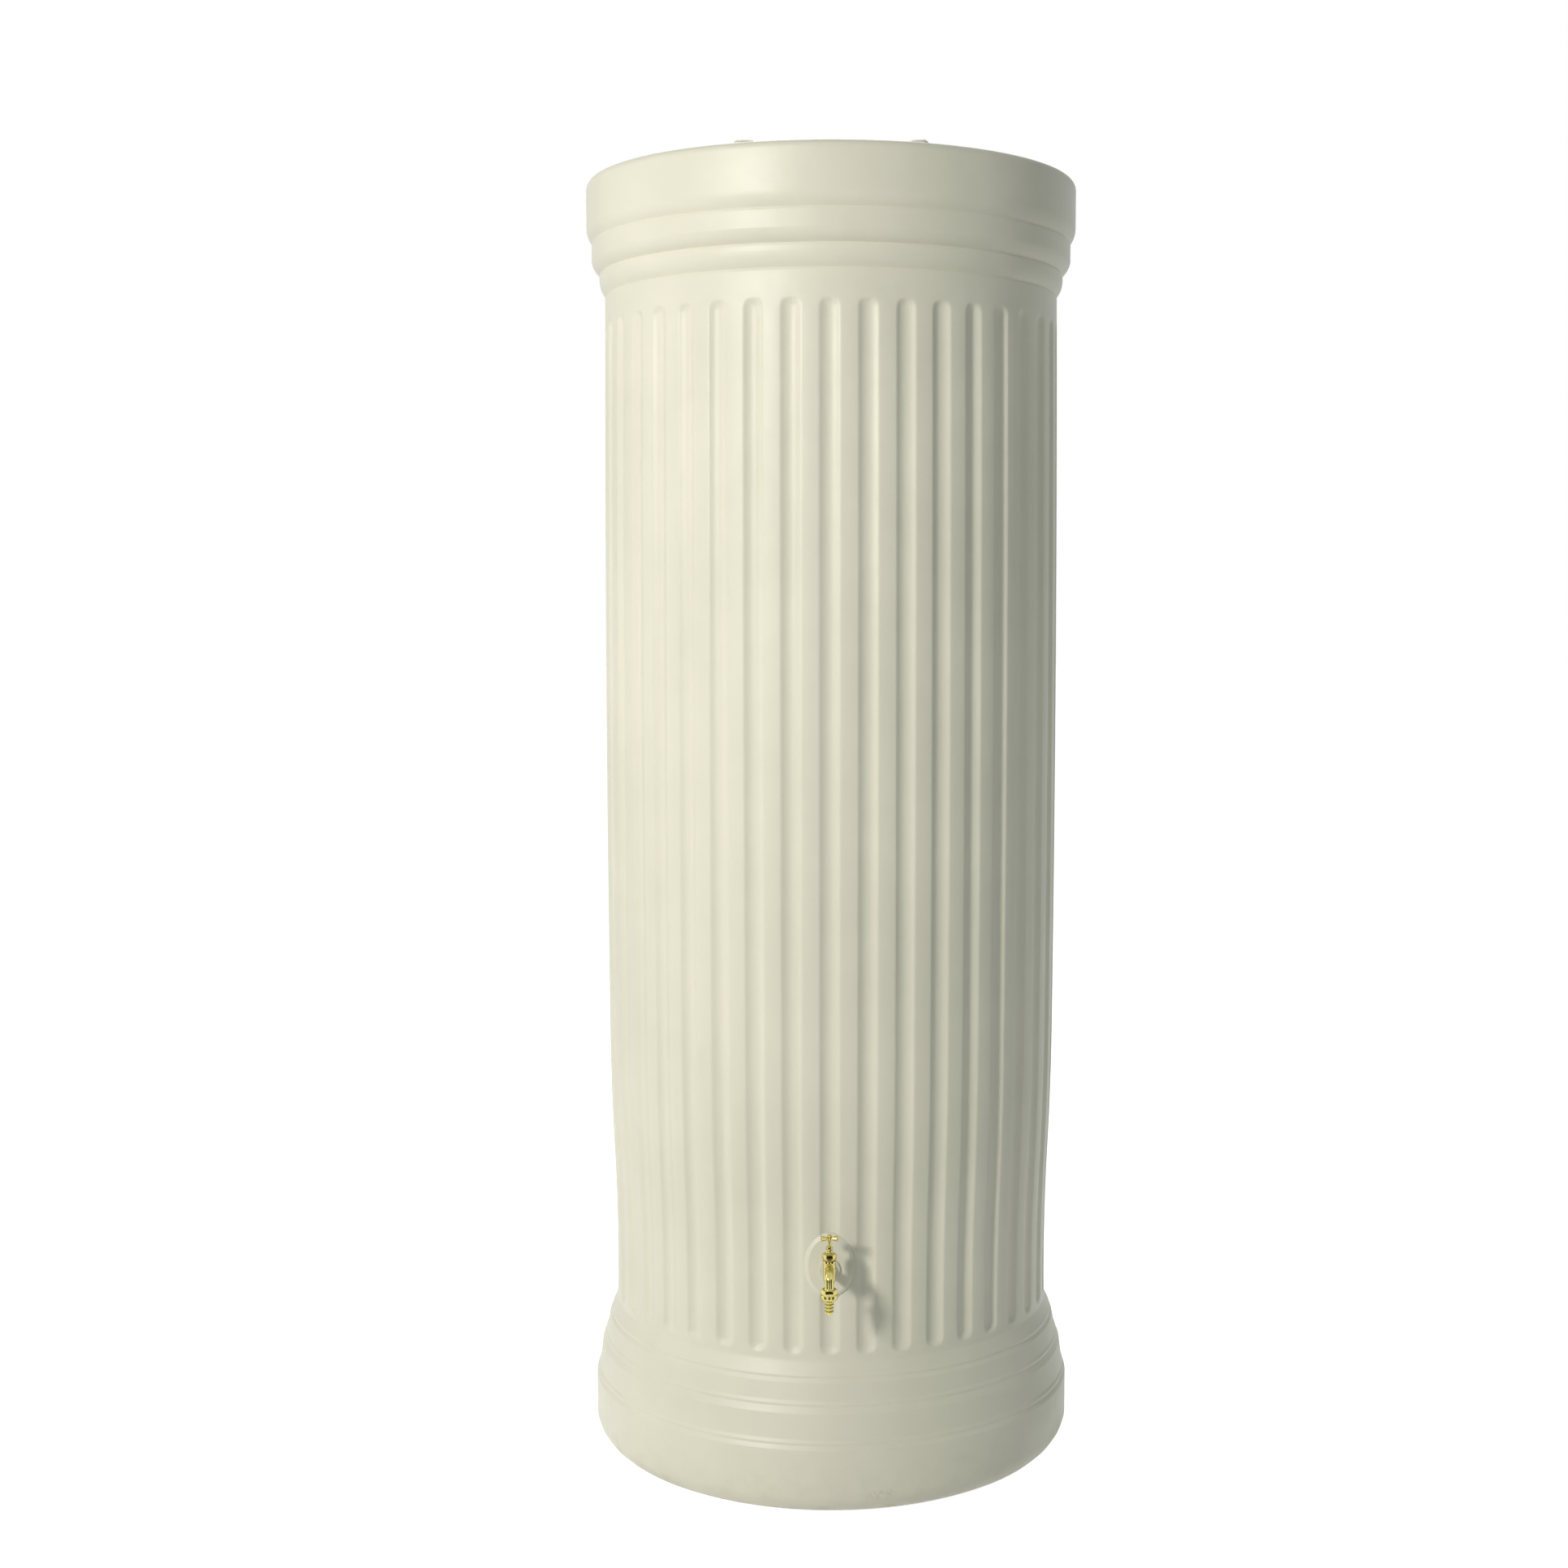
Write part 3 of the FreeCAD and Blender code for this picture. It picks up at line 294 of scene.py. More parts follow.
def fillet(before, corner, after, radius, steps):
    """Points of the arc that rounds a corner, no longer than half of each side."""
    here = Vector(corner)
    back, on = Vector(before) - here, Vector(after) - here
    half = back.angle(on) / 2
    reach = min(radius / math.tan(half), back.length * 0.49, on.length * 0.49)
    centre = here + (back.normalized() + on.normalized()).normalized() * reach / math.cos(half)
    first, last = here + back.normalized() * reach - centre, here + on.normalized() * reach - centre
    turn = math.pi - 2 * half
    points = []
    for step in range(steps + 1):
        part = step / steps
        spoke = first * math.sin((1 - part) * turn) + last * math.sin(part * turn)
        points.append(tuple(centre + spoke / math.sin(turn)))
    return points


def trace(corners, steps=4):
    """A closed outline through corners (radius, height), each with the radius that rounds it
    and the bulge of the side before it where they aren't 0."""
    path = []
    for index, corner in enumerate(corners):
        x, y, rounding, bulge = (*corner, 0, 0)[:4]
        if bulge:
            path += [(*point, 0) for point in bow(corners[index - 1][:2], (x, y), bulge, steps + 4)]
        path.append((x, y, rounding))
    points = []
    for index, (x, y, rounding) in enumerate(path):
        if rounding:
            following = path[(index + 1) % len(path)]
            points += fillet(path[index - 1][:2], (x, y), following[:2], rounding, steps)
        else:
            points.append((x, y))
    return points


def sleeve(inner, outer, low, high):
    """Outline of a plain ring."""
    return [(inner, high), (outer, high), (outer, low), (inner, low)]


# Meshes

# Angles over one side of a hexagon in degrees, which leave a narrow facet at each corner
HEXAGON_SIDE = (-29.3, -27, -18, -9, 0, 9, 18, 27, 29.3)
HEXAGON = [math.radians(60 * side + across) for side in range(6) for across in HEXAGON_SIDE]


def even(count):
    """Angles spread evenly round a circle."""
    return [2 * math.pi * index / count for index in range(count)]


def axis_matrix(origin, axis="Z"):
    """Takes millimetres about an axis of the object to metres at the origin given."""
    turns = {
        "Z": Matrix.Identity(4),
        "Y": Matrix.Rotation(-math.pi / 2, 4, "X"),
        "X": Matrix.Rotation(math.pi / 2, 4, "Y"),
    }
    return Matrix.Translation(origin) @ turns[axis] @ Matrix.Scale(MM, 4)


def turned(outline, sides, origin, axis="Z"):
    """Vertices and faces made by turning a closed outline, which may be a function of the angle.
    The sides are a number or a list of angles."""
    angles = even(sides) if isinstance(sides, int) else sides
    matrix = axis_matrix(origin, axis)
    vertices, faces, rings = [], [], []
    columns = [outline(angle) if callable(outline) else outline for angle in angles]
    for place in range(len(columns[0])):
        if columns[0][place][0] < 1e-6:
            rings.append([len(vertices)] * len(angles))
            vertices.append(matrix @ Vector((0, 0, columns[0][place][1])))
            continue
        rings.append(range(len(vertices), len(vertices) + len(angles)))
        for angle, column in zip(angles, columns):
            radius, height = column[place]
            spoke = Vector((radius * math.cos(angle), radius * math.sin(angle), height))
            vertices.append(matrix @ spoke)
    for ring, following in zip(rings, rings[1:] + rings[:1]):
        for index in range(len(angles)):
            onward = (index + 1) % len(angles)
            quad = (ring[index], ring[onward], following[onward], following[index])
            corners = tuple(dict.fromkeys(quad))
            if len(corners) > 2:
                faces.append(corners)
    return vertices, faces


def swept(route, radius, count, origin):
    """Vertices and faces of a round rod along a route in the YZ plane, closed at both ends."""
    matrix = axis_matrix(origin)
    vertices, faces = [matrix @ Vector(route[0])], []
    for index, point in enumerate(route):
        ahead = Vector(route[min(index + 1, len(route) - 1)]) - Vector(route[max(index - 1, 0)])
        upward = Vector((1, 0, 0)).cross(ahead.normalized())
        for angle in even(count):
            spoke = Vector((math.cos(angle), 0, 0)) + upward * math.sin(angle)
            vertices.append(matrix @ (Vector(point) + spoke * radius))
    vertices.append(matrix @ Vector(route[-1]))
    last = len(vertices) - 1
    for index in range(count):
        onward = (index + 1) % count
        faces.append((0, 1 + onward, 1 + index))
        faces.append((last, last - count + index, last - count + onward))
        for ring in range(len(route) - 1):
            base = 1 + ring * count
            faces.append((base + index, base + onward, base + count + onward, base + count + index))
    return vertices, faces


def new_object(name, data):
    """An object in the scene that shows the data."""
    made = bpy.data.objects.new(name, data)
    bpy.context.scene.collection.objects.link(made)
    return made


def new_piece(name, *parts):
    """One object from lists of vertices and faces, its faces turned outwards."""
    vertices, faces = [], []
    for part_vertices, part_faces in parts:
        first = len(vertices)
        vertices += part_vertices
        faces += [tuple(first + corner for corner in face) for face in part_faces]
    mesh = bpy.data.meshes.new(name)
    mesh.from_pydata(vertices, [], faces)
    edit = bmesh.new()
    edit.from_mesh(mesh)
    bmesh.ops.recalc_face_normals(edit, faces=edit.faces)
    edit.to_mesh(mesh)
    edit.free()
    return new_object(name, mesh)


def modified(piece, kind, **settings):
    """Applies one modifier to the piece's mesh."""
    modifier = piece.modifiers.new(kind.title(), kind)
    for name, value in settings.items():
        setattr(modifier, name, value)
    graph = bpy.context.evaluated_depsgraph_get()
    mesh = bpy.data.meshes.new_from_object(piece.evaluated_get(graph))
    piece.modifiers.remove(modifier)
    piece.data = mesh


def joined(piece, tool, operation):
    """Adds a tool piece to the piece or cuts it out, and removes the tool."""
    modified(piece, "BOOLEAN", operation=operation, solver="EXACT", object=tool)
    bpy.data.objects.remove(tool)


def crisp(piece, width):
    """Puts a small chamfer on every machined edge."""
    sharp = {"limit_method": "ANGLE", "angle_limit": math.radians(35)}
    modified(piece, "BEVEL", width=width * MM, segments=2, **sharp)


def run_together(piece, voxel, rounds, kept):
    """Gives a piece's parts one skin: remeshed, smoothed, and thinned to a share of its faces."""
    modified(piece, "REMESH", mode="VOXEL", voxel_size=voxel * MM)
    modified(piece, "SMOOTH", factor=0.5, iterations=rounds)
    modified(piece, "DECIMATE", ratio=kept)


def finish(piece, look, body, node, smooth=40):
    """Shades a piece, gives it its material and its place among the moving bodies."""
    piece.data.shade_smooth()
    piece.data.set_sharp_from_angle(angle=math.radians(smooth))
    piece.data.materials.clear()
    piece.data.materials.append(material(look))
    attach(piece, body)
    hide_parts(node)


def turned_piece(name, body, node, edge, *parts, smooth=32):
    """A finished piece of turned brass, its edges chamfered."""
    piece = new_piece(name, *parts)
    crisp(piece, edge)
    finish(piece, "turned_brass", body, node, smooth)


# Shader nodes as expressions


class Signal:
    """An output socket. Sums and products of signals and numbers add the Math nodes they need."""

    def __init__(self, paint, socket):
        self.paint = paint
        self.socket = socket

    def maths(self, operation, first, second):
        return self.paint.node("Math", {"operation": operation}, {0: first, 1: second})

    def __add__(self, other):
        return self.maths("ADD", self, other)

    def __mul__(self, other):
        return self.maths("MULTIPLY", self, other)

    def __sub__(self, other):
        return self.maths("SUBTRACT", self, other)

    def __rsub__(self, other):
        return self.maths("SUBTRACT", other, self)

    __radd__ = __add__
    __rmul__ = __mul__

    def clamped(self):
        return self.paint.node("Clamp", {}, {"Value": self})

    def step(self, low, high):
        """0 below low, 1 above high and smooth between them."""
        inputs = {"Value": self, "From Min": low, "From Max": high}
        return self.paint.node("MapRange", {"interpolation_type": "SMOOTHSTEP"}, inputs)


class Paint:
    """The node tree of a material or a world while it is put together."""

    def __init__(self, name, kind="materials"):
        self.owner = getattr(bpy.data, kind).new(name)
        self.owner.use_nodes = True
        self.tree = self.owner.node_tree
        self.tree.nodes.clear()

    def node(self, kind, settings, inputs, output=0):
        """Adds a node, sets it up, gives its sockets values or links, and returns an output."""
        made = self.tree.nodes.new("ShaderNode" + kind)
        for name, value in settings.items():
            setattr(made, name, value)
        for name, value in inputs.items():
            if isinstance(value, Signal):
                self.tree.links.new(value.socket, made.inputs[name])
            else:
                made.inputs[name].default_value = value
        return Signal(self, made.outputs[output]) if made.outputs else None

    def place(self):
        """Position on the object in metres."""
        return self.node("TexCoord", {}, {}, "Object")

    def noise(self, scale, detail=2.0, roughness=0.5, at=None):
        inputs = {"Vector": at or self.place(), "Scale": scale, "Detail": detail}
        return self.node("TexNoise", {}, {**inputs, "Roughness": roughness})

    def stretched(self, x, y, z):
        """Position with each direction scaled, for streaks and scratches."""
        return self.node("VectorMath", {"operation": "MULTIPLY"}, {0: self.place(), 1: (x, y, z)})

    def seen(self):
        """1 for the camera's own rays and those in gloss or through glass, and 0 for others."""
        rays = self.node("LightPath", {}, {}).socket.node.outputs
        names = ("Is Camera Ray", "Is Glossy Ray", "Is Transmission Ray")
        camera, gloss, glass = (Signal(self, rays[name]) for name in names)
        return (camera + gloss + glass).clamped()

    def blend(self, amount, first, second):
        """A colour between two."""
        ends = [value if isinstance(value, Signal) else (*value, 1) for value in (first, second)]
        return self.node("Mix", {"data_type": "RGBA"}, {0: amount, 6: ends[0], 7: ends[1]}, 2)

    def bump(self, height, distance, below=None):
        inputs = {"Height": height, "Distance": distance}
        if below is not None:
            inputs["Normal"] = below
        return self.node("Bump", {}, inputs)

    def matt(self, tone):
        return self.node("BsdfDiffuse", {}, {"Color": tone})

    def surface(self, tone, roughness, normal, metallic=0.0):
        """Puts the main shader in and returns the material."""
        inputs = {"Base Color": tone, "Roughness": roughness, "Normal": normal}
        return self.shown(self.node("BsdfPrincipled", {}, {**inputs, "Metallic": metallic}))

    def shown(self, shader, output="OutputMaterial"):
        """Links a shader to the output and returns the material or world."""
        self.node(output, {}, {"Surface": shader})
        return self.owner


# Where the scuff low on the front lies, and how it is stretched
SCUFF_PLACE = (0.061, -0.289, 0.027)
SCUFF_STRETCH = (0.6, 0.3, 1.2)


def cream_plastic(finishes):
    """Satin plastic: faint clouds, fine orange peel, slow waves, dust and a scuff at the foot."""
    paint = Paint("moulded_plastic")
    height = paint.node("SeparateXYZ", {}, {"Vector": paint.place()}, "Z")
    clouds = paint.noise(5.0, 4.0, 0.55)
    specks = paint.noise(420.0, 2.0, 0.6)
    near_foot = 1 - height.step(0.0, 0.11)
    grime = (near_foot * paint.noise(38.0, 5.0, 0.65).step(0.46, 0.72)) * 0.16
    middle = tuple(stretch * place for stretch, place in zip(SCUFF_STRETCH, SCUFF_PLACE))
    ends = {0: paint.stretched(*SCUFF_STRETCH), 1: middle}
    scuff = paint.node("VectorMath", {"operation": "DISTANCE"}, ends, "Value")
    scratched = (1 - scuff.step(0.003, 0.013)) * paint.noise(310.0, 3.0, 0.7).step(0.42, 0.6) * 0.5
    mottle = clouds.step(0.35, 0.68) * 0.75 + specks.step(0.5, 0.8) * 0.12
    tone = paint.blend(mottle, finishes.cream, finishes.cream_shade)
    tone = paint.blend((grime + scratched).clamped(), tone, finishes.dust)
    rough = clouds * 0.09 + specks * 0.08 + (finishes.gloss - 0.085) + grime * 0.8
    waves = paint.bump(paint.noise(16.0, 2.0, 0.45), 0.0011)
    return paint.surface(tone, rough, paint.bump(paint.noise(520.0, 2.0, 0.55), 0.00009, waves))


def brass(finishes, name, grain, streaks):
    """Polished, faintly tarnished brass with some depth of cast grain and of turning marks."""
    paint = Paint(name)
    patches = paint.noise(190.0, 4.0, 0.6)
    fine = paint.noise(1400.0, 3.0, 0.6)
    lines = paint.noise(1.0, 2.0, 0.5, paint.stretched(240.0, 240.0, 6500.0))
    tarnished = patches.step(0.47, 0.8) * 0.55 + fine.step(0.58, 0.8) * 0.12
    tone = paint.blend(tarnished.clamped(), finishes.brass, finishes.tarnish)
    rough = patches * 0.14 + fine * 0.06 + (finishes.polish - 0.08) + lines * (0.08 * streaks)
    cast = paint.bump(fine, 0.00003 * grain, paint.bump(patches, 0.00006))
    return paint.surface(tone, rough, paint.bump(lines, 0.000012 * streaks, cast), 1.0)


def soft_washer(name, tone, darker, roughness, scale):
    """Rubber, nylon or fibre: mottled, with a fine uneven skin."""
    paint = Paint(name)
    mottle = paint.noise(scale, 4.0, 0.65)
    wide = paint.noise(scale / 8, 2.0, 0.5)
    shade = tuple(part * darker for part in tone)
    mixed = paint.blend((mottle.step(0.4, 0.7) * 0.6 + wide * 0.4).clamped(), tone, shade)
    return paint.surface(mixed, mottle * 0.15 + (roughness - 0.08), paint.bump(mottle, 0.00004))


def greased_cord(tone):
    """Wound packing: strands round the stem, matted with grease."""
    paint = Paint("greased_packing")
    strands = paint.noise(1.0, 3.0, 0.5, paint.stretched(900.0, 900.0, 4200.0))
    mixed = paint.blend(strands.step(0.4, 0.65), tone, tuple(part * 0.55 for part in tone))
    return paint.surface(mixed, strands * 0.3 + 0.4, paint.bump(strands, 0.00012))


def white_floor(strength):
    """A pale floor that shows white to the camera and in gloss, and keeps the object's shadow."""
    paint = Paint("white_floor")
    speckle = paint.blend(paint.noise(2.0), (0.80, 0.80, 0.80), (0.82, 0.82, 0.82))
    glow = {"Color": (1, 1, 1, 1), "Strength": paint.seen() * strength}
    light = paint.node("Emission", {}, glow)
    return paint.shown(paint.node("AddShader", {}, {0: paint.matt(speckle), 1: light}))


def dark_card():
    """A matt black card whose reflection shapes the brass."""
    paint = Paint("dark_card")
    weave = paint.blend(paint.noise(30.0), (0.010, 0.010, 0.010), (0.014, 0.014, 0.014))
    return paint.shown(paint.matt(weave))


MATERIALS = {}


def material(name):
    """The finished materials, each made once."""
    if not MATERIALS:
        finishes = bpy.context.scene.tank_finishes
        MATERIALS.update(
            cream=cream_plastic(finishes),
            cast_brass=brass(finishes, "cast_brass", 1.0, 0.0),
            turned_brass=brass(finishes, "turned_brass", 0.35, 1.0),
            pale_washer=soft_washer("pale_nylon", finishes.pale_washer, 0.8, 0.5, 900.0),
            fibre=soft_washer("red_fibre", finishes.fibre, 0.6, 0.75, 1600.0),
            rubber=soft_washer("black_rubber", finishes.rubber, 0.6, 0.6, 1300.0),
            packing=greased_cord(finishes.packing),
        )
    return MATERIALS[name]


# The moulded tank


def groove(radius, height, shoulder, drop):
    """Corners of the shallow groove over a ring: its shoulder, the groove and the flare above."""
    return [
        (radius + shoulder, height - drop, drop / 2), (radius - 0.2, height - 1.3, 0.9),
        (radius + 0.3, height + 1.6, 0.8), (radius - 1.7, height + 5.2, 2.0),
    ]


def lip(radius, height, soft):
    """Corners of a band's rounded upper edge and the fine crease behind it."""
    return [(radius, height - 2.4, 1.4), (radius - 1.3, height, soft)]


def shell_outline(c):
    """The shell's line below the fluted shaft, the shaft, and the lines above and inside it."""
    plinth = c.plinth
    deck = RIM_HEIGHT - c.deck_drop
    neck_inner = c.neck - c.neck_wall
    inner_band = plinth - c.wall
    # Bulge of the foot's rounding, and the thickness of the foot and behind the flutes
    foot_bulge, thick, behind = 0.40, 8, 8.5
    stations = [c.shaft_foot, c.waist, c.belly, c.shaft_top]
    foot = [
        (0, 0),
        (plinth - c.foot_reach, 0, 1),
        (plinth, c.foot_round, 0, foot_bulge),
        *groove(*c.crease, plinth - c.crease[0], 6.0),
        *groove(*c.low_torus, 3.8, 8.5),
        *groove(*c.high_torus, 2.8, 5.5),
        (*c.shaft_foot, 9),
    ]
    # Each crease of the capital, the radius of the band over it and the height of its swelling foot
    capital = []
    top_rise = 17.5
    bands = (
        (c.shaft_top, c.low_band[0], 18), (c.low_band, c.middle_band[0], 15),
        (c.middle_band, plinth, top_rise),
    )
    for (radius, height), above, rise in bands:
        capital += [*lip(radius, height, c.crease_round), (above, height + rise, 3, 0.2)]
    capital += [
        (plinth, RIM_HEIGHT - c.rim_round),
        (plinth - c.rim_round, RIM_HEIGHT, 0, QUARTER),
        (plinth - c.rim_round - c.deck_drop, deck, 5),
        (c.neck, deck, 4),
    ]
    inside = [
        (neck_inner, deck - c.wall),
        (inner_band - c.wall, deck - c.wall),
        (inner_band, deck - 2 * c.wall),
        (inner_band, c.middle_band[1] + top_rise),
        *((radius - behind, height) for radius, height in stations[::-1]),
        (c.low_torus[0] - c.wall, c.low_torus[1]),
        (plinth - thick, c.plinth_height),
        (plinth - thick, c.foot_round),
        (plinth - c.foot_reach, thick, 0, -foot_bulge),
        (0, thick),
    ]
    shaft = shaft_line(c, stations)[1:]
    lower = trace(foot + [shaft[0]], 2)[:-1]
    upper = trace([shaft[-1]] + capital + [(c.neck, deck + 30)], 2)[1:-1]
    return lower, shaft, upper, trace([(neck_inner, deck + 20)] + inside, 2)[1:]


def shaft_line(c, stations):
    """The shaft's side, a gentle bow through the stations, with close rings at the flutes' ends."""
    line = [stations[0]]
    bulges, steps = (-0.0164, 0.0105, 0.0042), (7, 6, 11)
    for start, end, *curve in zip(stations, stations[1:], bulges, steps):
        line += bow(start, end, *curve) + [end]
    half = c.flute_width / 2
    ends = [0, 2.5, 5, 7, 8.5, 9.6, 10.5, 11.4, 12.6, 14.5]
    heights = {c.flute_low + half - reach for reach in ends}
    heights = {height for height in heights if height > c.shaft_foot[1]}
    heights |= {c.flute_high - half + reach for reach in ends}
    heights |= {height for radius, height in line[:-1]}
    return [(radius_on(line, height), height) for height in sorted(heights)]


def radius_on(line, height):
    """Radius of a line at a height."""
    for (low_radius, low), (high_radius, high) in zip(line, line[1:]):
        if height <= high:
            break
    return low_radius + (high_radius - low_radius) * (height - low) / (high - low)


def flute_cut(c, across, height):
    """How deep a flute cuts at a distance from its middle: round in section, with ball ends."""
    half = c.flute_width / 2
    ball = (half * half + c.flute_depth * c.flute_depth) / (2 * c.flute_depth)
    beyond = max(c.flute_low + half - height, height - (c.flute_high - half), 0)
    chord = math.sqrt(max(ball * ball - across * across - beyond * beyond, 0))
    depth = chord - (ball - c.flute_depth)
    return (depth + math.sqrt(depth * depth + c.flute_edge * c.flute_edge)) / 2


def screw_ridge(height, angle, pitch):
    """From 0 to 1 over one turn of a rounded thread."""
    turn = (height / pitch - angle / (2 * math.pi)) % 1
    return max(0.0, math.cos(2 * math.pi * (turn - 0.5))) ** 0.6 if 0.25 < turn < 0.75 else 0.0


# Columns of vertices over half a flute's share of the round, close together at the flute's edge
FLUTE_COLUMNS = (0, 0.21, 0.38, 0.47, 0.535, 0.62)

# Outline of the threaded insert's seat, from the washer's inner face into the wall
INSERT_SEAT = [(0, -1), (11, -1), (11, 4), (13, 4), (13, 8), (11, 8), (11, 15.4), (0, 15.4)]


def tank_shell():
    """The hollow column with its flutes, neck, pad and the insert's seat."""
    c = in_mm("tank_column")
    lower, shaft, upper, inside = shell_outline(c)
    pitch = 2 * math.pi / c.flute_count
    half = [part * pitch / 2 for part in FLUTE_COLUMNS]
    offsets = [-part for part in reversed(half[1:])] + half + [pitch / 2]
    top, inner, bevel = NECK_TOP.z / MM, c.neck - c.neck_wall, 0.8
    thread_length, thread_depth, thread_pitch, run_out = 28, 2.2, 8, 4
    neck_rings = [(c.neck, height) for height in range(int(top) - thread_length, int(top), 2)]
    neck_end = [
        (c.neck, top - bevel), (c.neck - bevel, top), (inner + bevel, top), (inner, top - bevel),
    ]
    first_neck = len(lower) + len(shaft) + len(upper)
    whole = lower + shaft + upper + neck_rings + neck_end + inside

    def outline(angle):
        offset = (angle + math.pi / 2 + pitch / 2) % pitch - pitch / 2
        points = list(whole)
        for place in range(len(lower), len(lower) + len(shaft)):
            radius, height = whole[place]
            points[place] = (radius - flute_cut(c, radius * offset, height), height)
        for place in range(first_neck, first_neck + len(neck_rings)):
            radius, height = whole[place]
            inward = min(height - neck_rings[0][1], neck_rings[-1][1] - height)
            depth = thread_depth * min(inward / run_out, 1)
            points[place] = (radius + depth * screw_ridge(height, angle, thread_pitch), height)
        return points

    middles = [index * pitch - math.pi / 2 for index in range(c.flute_count)]
    angles = [middle + offset for middle in middles for offset in offsets]
    shell = new_piece("tank_shell", turned(outline, angles, Vector()))
    joined(shell, tap_pad(c), "UNION")
    joined(shell, new_piece("insert_seat", turned(INSERT_SEAT, 48, PAD_FACE, "Y")), "DIFFERENCE")
    finish(shell, "cream", "tank", "tank_body", smooth=38)


def tap_pad(c):
    """The flat oval pad on the front, with a rounded front edge and slightly sloping sides."""
    wide, tall = c.pad_width / 2, c.pad_tall / 2

    def outline(angle):
        reach = wide * tall / math.hypot(tall * math.cos(angle), wide * math.sin(angle))
        return trace([
            (0, 0), (reach - c.pad_round, 0, 1.5), (reach - 0.4, 2.4, 1.2), (reach, 4.4),
            (reach + 1.0, c.pad_depth), (0, c.pad_depth),
        ], 5)

    middle = PAD_FACE + Vector((0, 0, c.pad_rise * MM))
    return new_piece("tap_pad", turned(outline, 144, middle, "Y"))


# The screw lid


def lid_cap():
    """The lid's plate and ribbed skirt with the two grips."""
    s = in_mm("tank_lid")
    inner = s.radius - s.wall
    # The plate's middle is a shallow dish
    dish, dish_depth = 70, 1.2
    dish_floor = s.top - dish_depth

    def outline(angle):
        side = s.radius - s.rib_depth * max(0.0, math.cos(s.rib_count * angle)) ** 0.7
        return trace([
            (0, s.ceiling), (inner, s.ceiling, 2), (inner, -s.skirt, 0.8),
            (s.radius, -s.skirt, 0.8), (s.radius, 2 - s.skirt), (side, 4 - s.skirt),
            (side, s.top - s.edge_round - 4), (s.radius, s.top - s.edge_round - 2),
            (s.radius, s.top, s.edge_round), (dish, s.top, 1.2), (dish - 2, dish_floor, 1.2),
            (0, dish_floor),
        ])

    cap = new_piece("lid_cap", turned(outline, s.rib_count * 8, NECK_TOP))
    for side in (1, -1):
        joined(cap, lid_grip(s, side), "UNION")
    finish(cap, "cream", "lid", "lid", smooth=38)


def lid_grip(s, side):
    """A rounded finger grip beside the rim. Exponents under 1 make it fuller than an oval."""
    foot = s.top - 2
    middle, half = (s.grip_outer + s.grip_inner) / 2, (s.grip_outer - s.grip_inner) / 2
    arc = [math.radians(angle) for angle in range(0, 181, 10)]
    sections = [math.radians(angle) for angle in range(-84, 85, 7)]
    vertices, faces = [], []
    for section in sections:
        along = math.sin(section) * s.grip_length / 2
        wide = half * math.cos(section) ** 0.55
        tall = (s.grip_crest - foot) * math.cos(section) ** 0.75
        for angle in arc:
            across = math.copysign(abs(math.cos(angle)) ** 0.6, math.cos(angle)) * wide
            height = foot + max(math.sin(angle), 0) ** 0.5 * tall
            vertices.append(Vector(((middle + across) * side, along, height)) * MM + NECK_TOP)
    count = len(arc)
    for base in range(0, count * (len(sections) - 1), count):
        for index in range(count):
            onward = (index + 1) % count
            faces.append((base + index, base + onward, base + count + onward, base + count + index))
    faces.append(tuple(range(count)))
    faces.append(tuple(range(len(vertices) - count, len(vertices))))
    return new_piece("grip", (vertices, faces))


# The brass tap


def spout_route(t):
    """Centre line of the spout: forwards, round the bend and down, from the barrel's wall."""
    start = (t.spout_bend - t.spout_reach, t.spout_height)
    end = (-t.spout_reach, t.spout_height - t.spout_bend)
    bend = [start] + bow(start, end, QUARTER, 14) + [end]
    line = [(-t.chamber - 0.2, t.spout_height)] + bend + [(-t.spout_reach, -t.spout_thread_top)]
    return [(0, y, z) for y, z in line]


def threaded(t, low, high):
    """A sleeve with a cut thread between two heights, its ends run out."""
    pitch, end_depth = t.thread_pitch, 0.35
    rings = int((high - low) / (pitch / 8))
    heights = [low + (high - low) * step / rings for step in range(rings + 1)]

    def outline(angle):
        side = []
        for height in heights:
            fade = min((height - low) / pitch, (high - height) / pitch, 1)
            depth = end_depth
            if fade > 0:
                depth = t.thread_depth * (1 - screw_ridge(height, angle, pitch)) * fade ** 0.5
            side.append((t.thread - depth, height))
        return [(t.bore, low)] + side + [(t.bore, high)]

    return outline


def tap_casting():
    """Barrel, inlet and bent spout in one casting, then its machined collar, bead and threads."""
    t = in_mm("tank_tap")
    mouth = t.barrel_top - 2.5
    barrel = trace([
        (0, -t.barrel), (t.barrel, 0, 0, QUARTER), (t.barrel, mouth), (t.chamber, mouth),
        (t.chamber, -t.chamber_floor + 2), (3, -t.chamber_floor), (0, -t.chamber_floor),
    ])
    inlet = sleeve(0, t.inlet, t.chamber + 0.3, t.inlet_reach - 2)
    casting = new_piece(
        "tap_casting",
        turned(barrel, 96, BARREL_FOOT),
        turned(inlet, 72, BARREL_FOOT, "Y"),
        swept(spout_route(t), t.spout, 64, BARREL_FOOT),
    )
    run_together(casting, 0.34, 6, 0.45)
    machined = new_piece("machined", *tap_machined(t))
    crisp(machined, t.edge)
    finish(merge("tap_casting", casting, machined), "cast_brass", "tank", "tap_body")


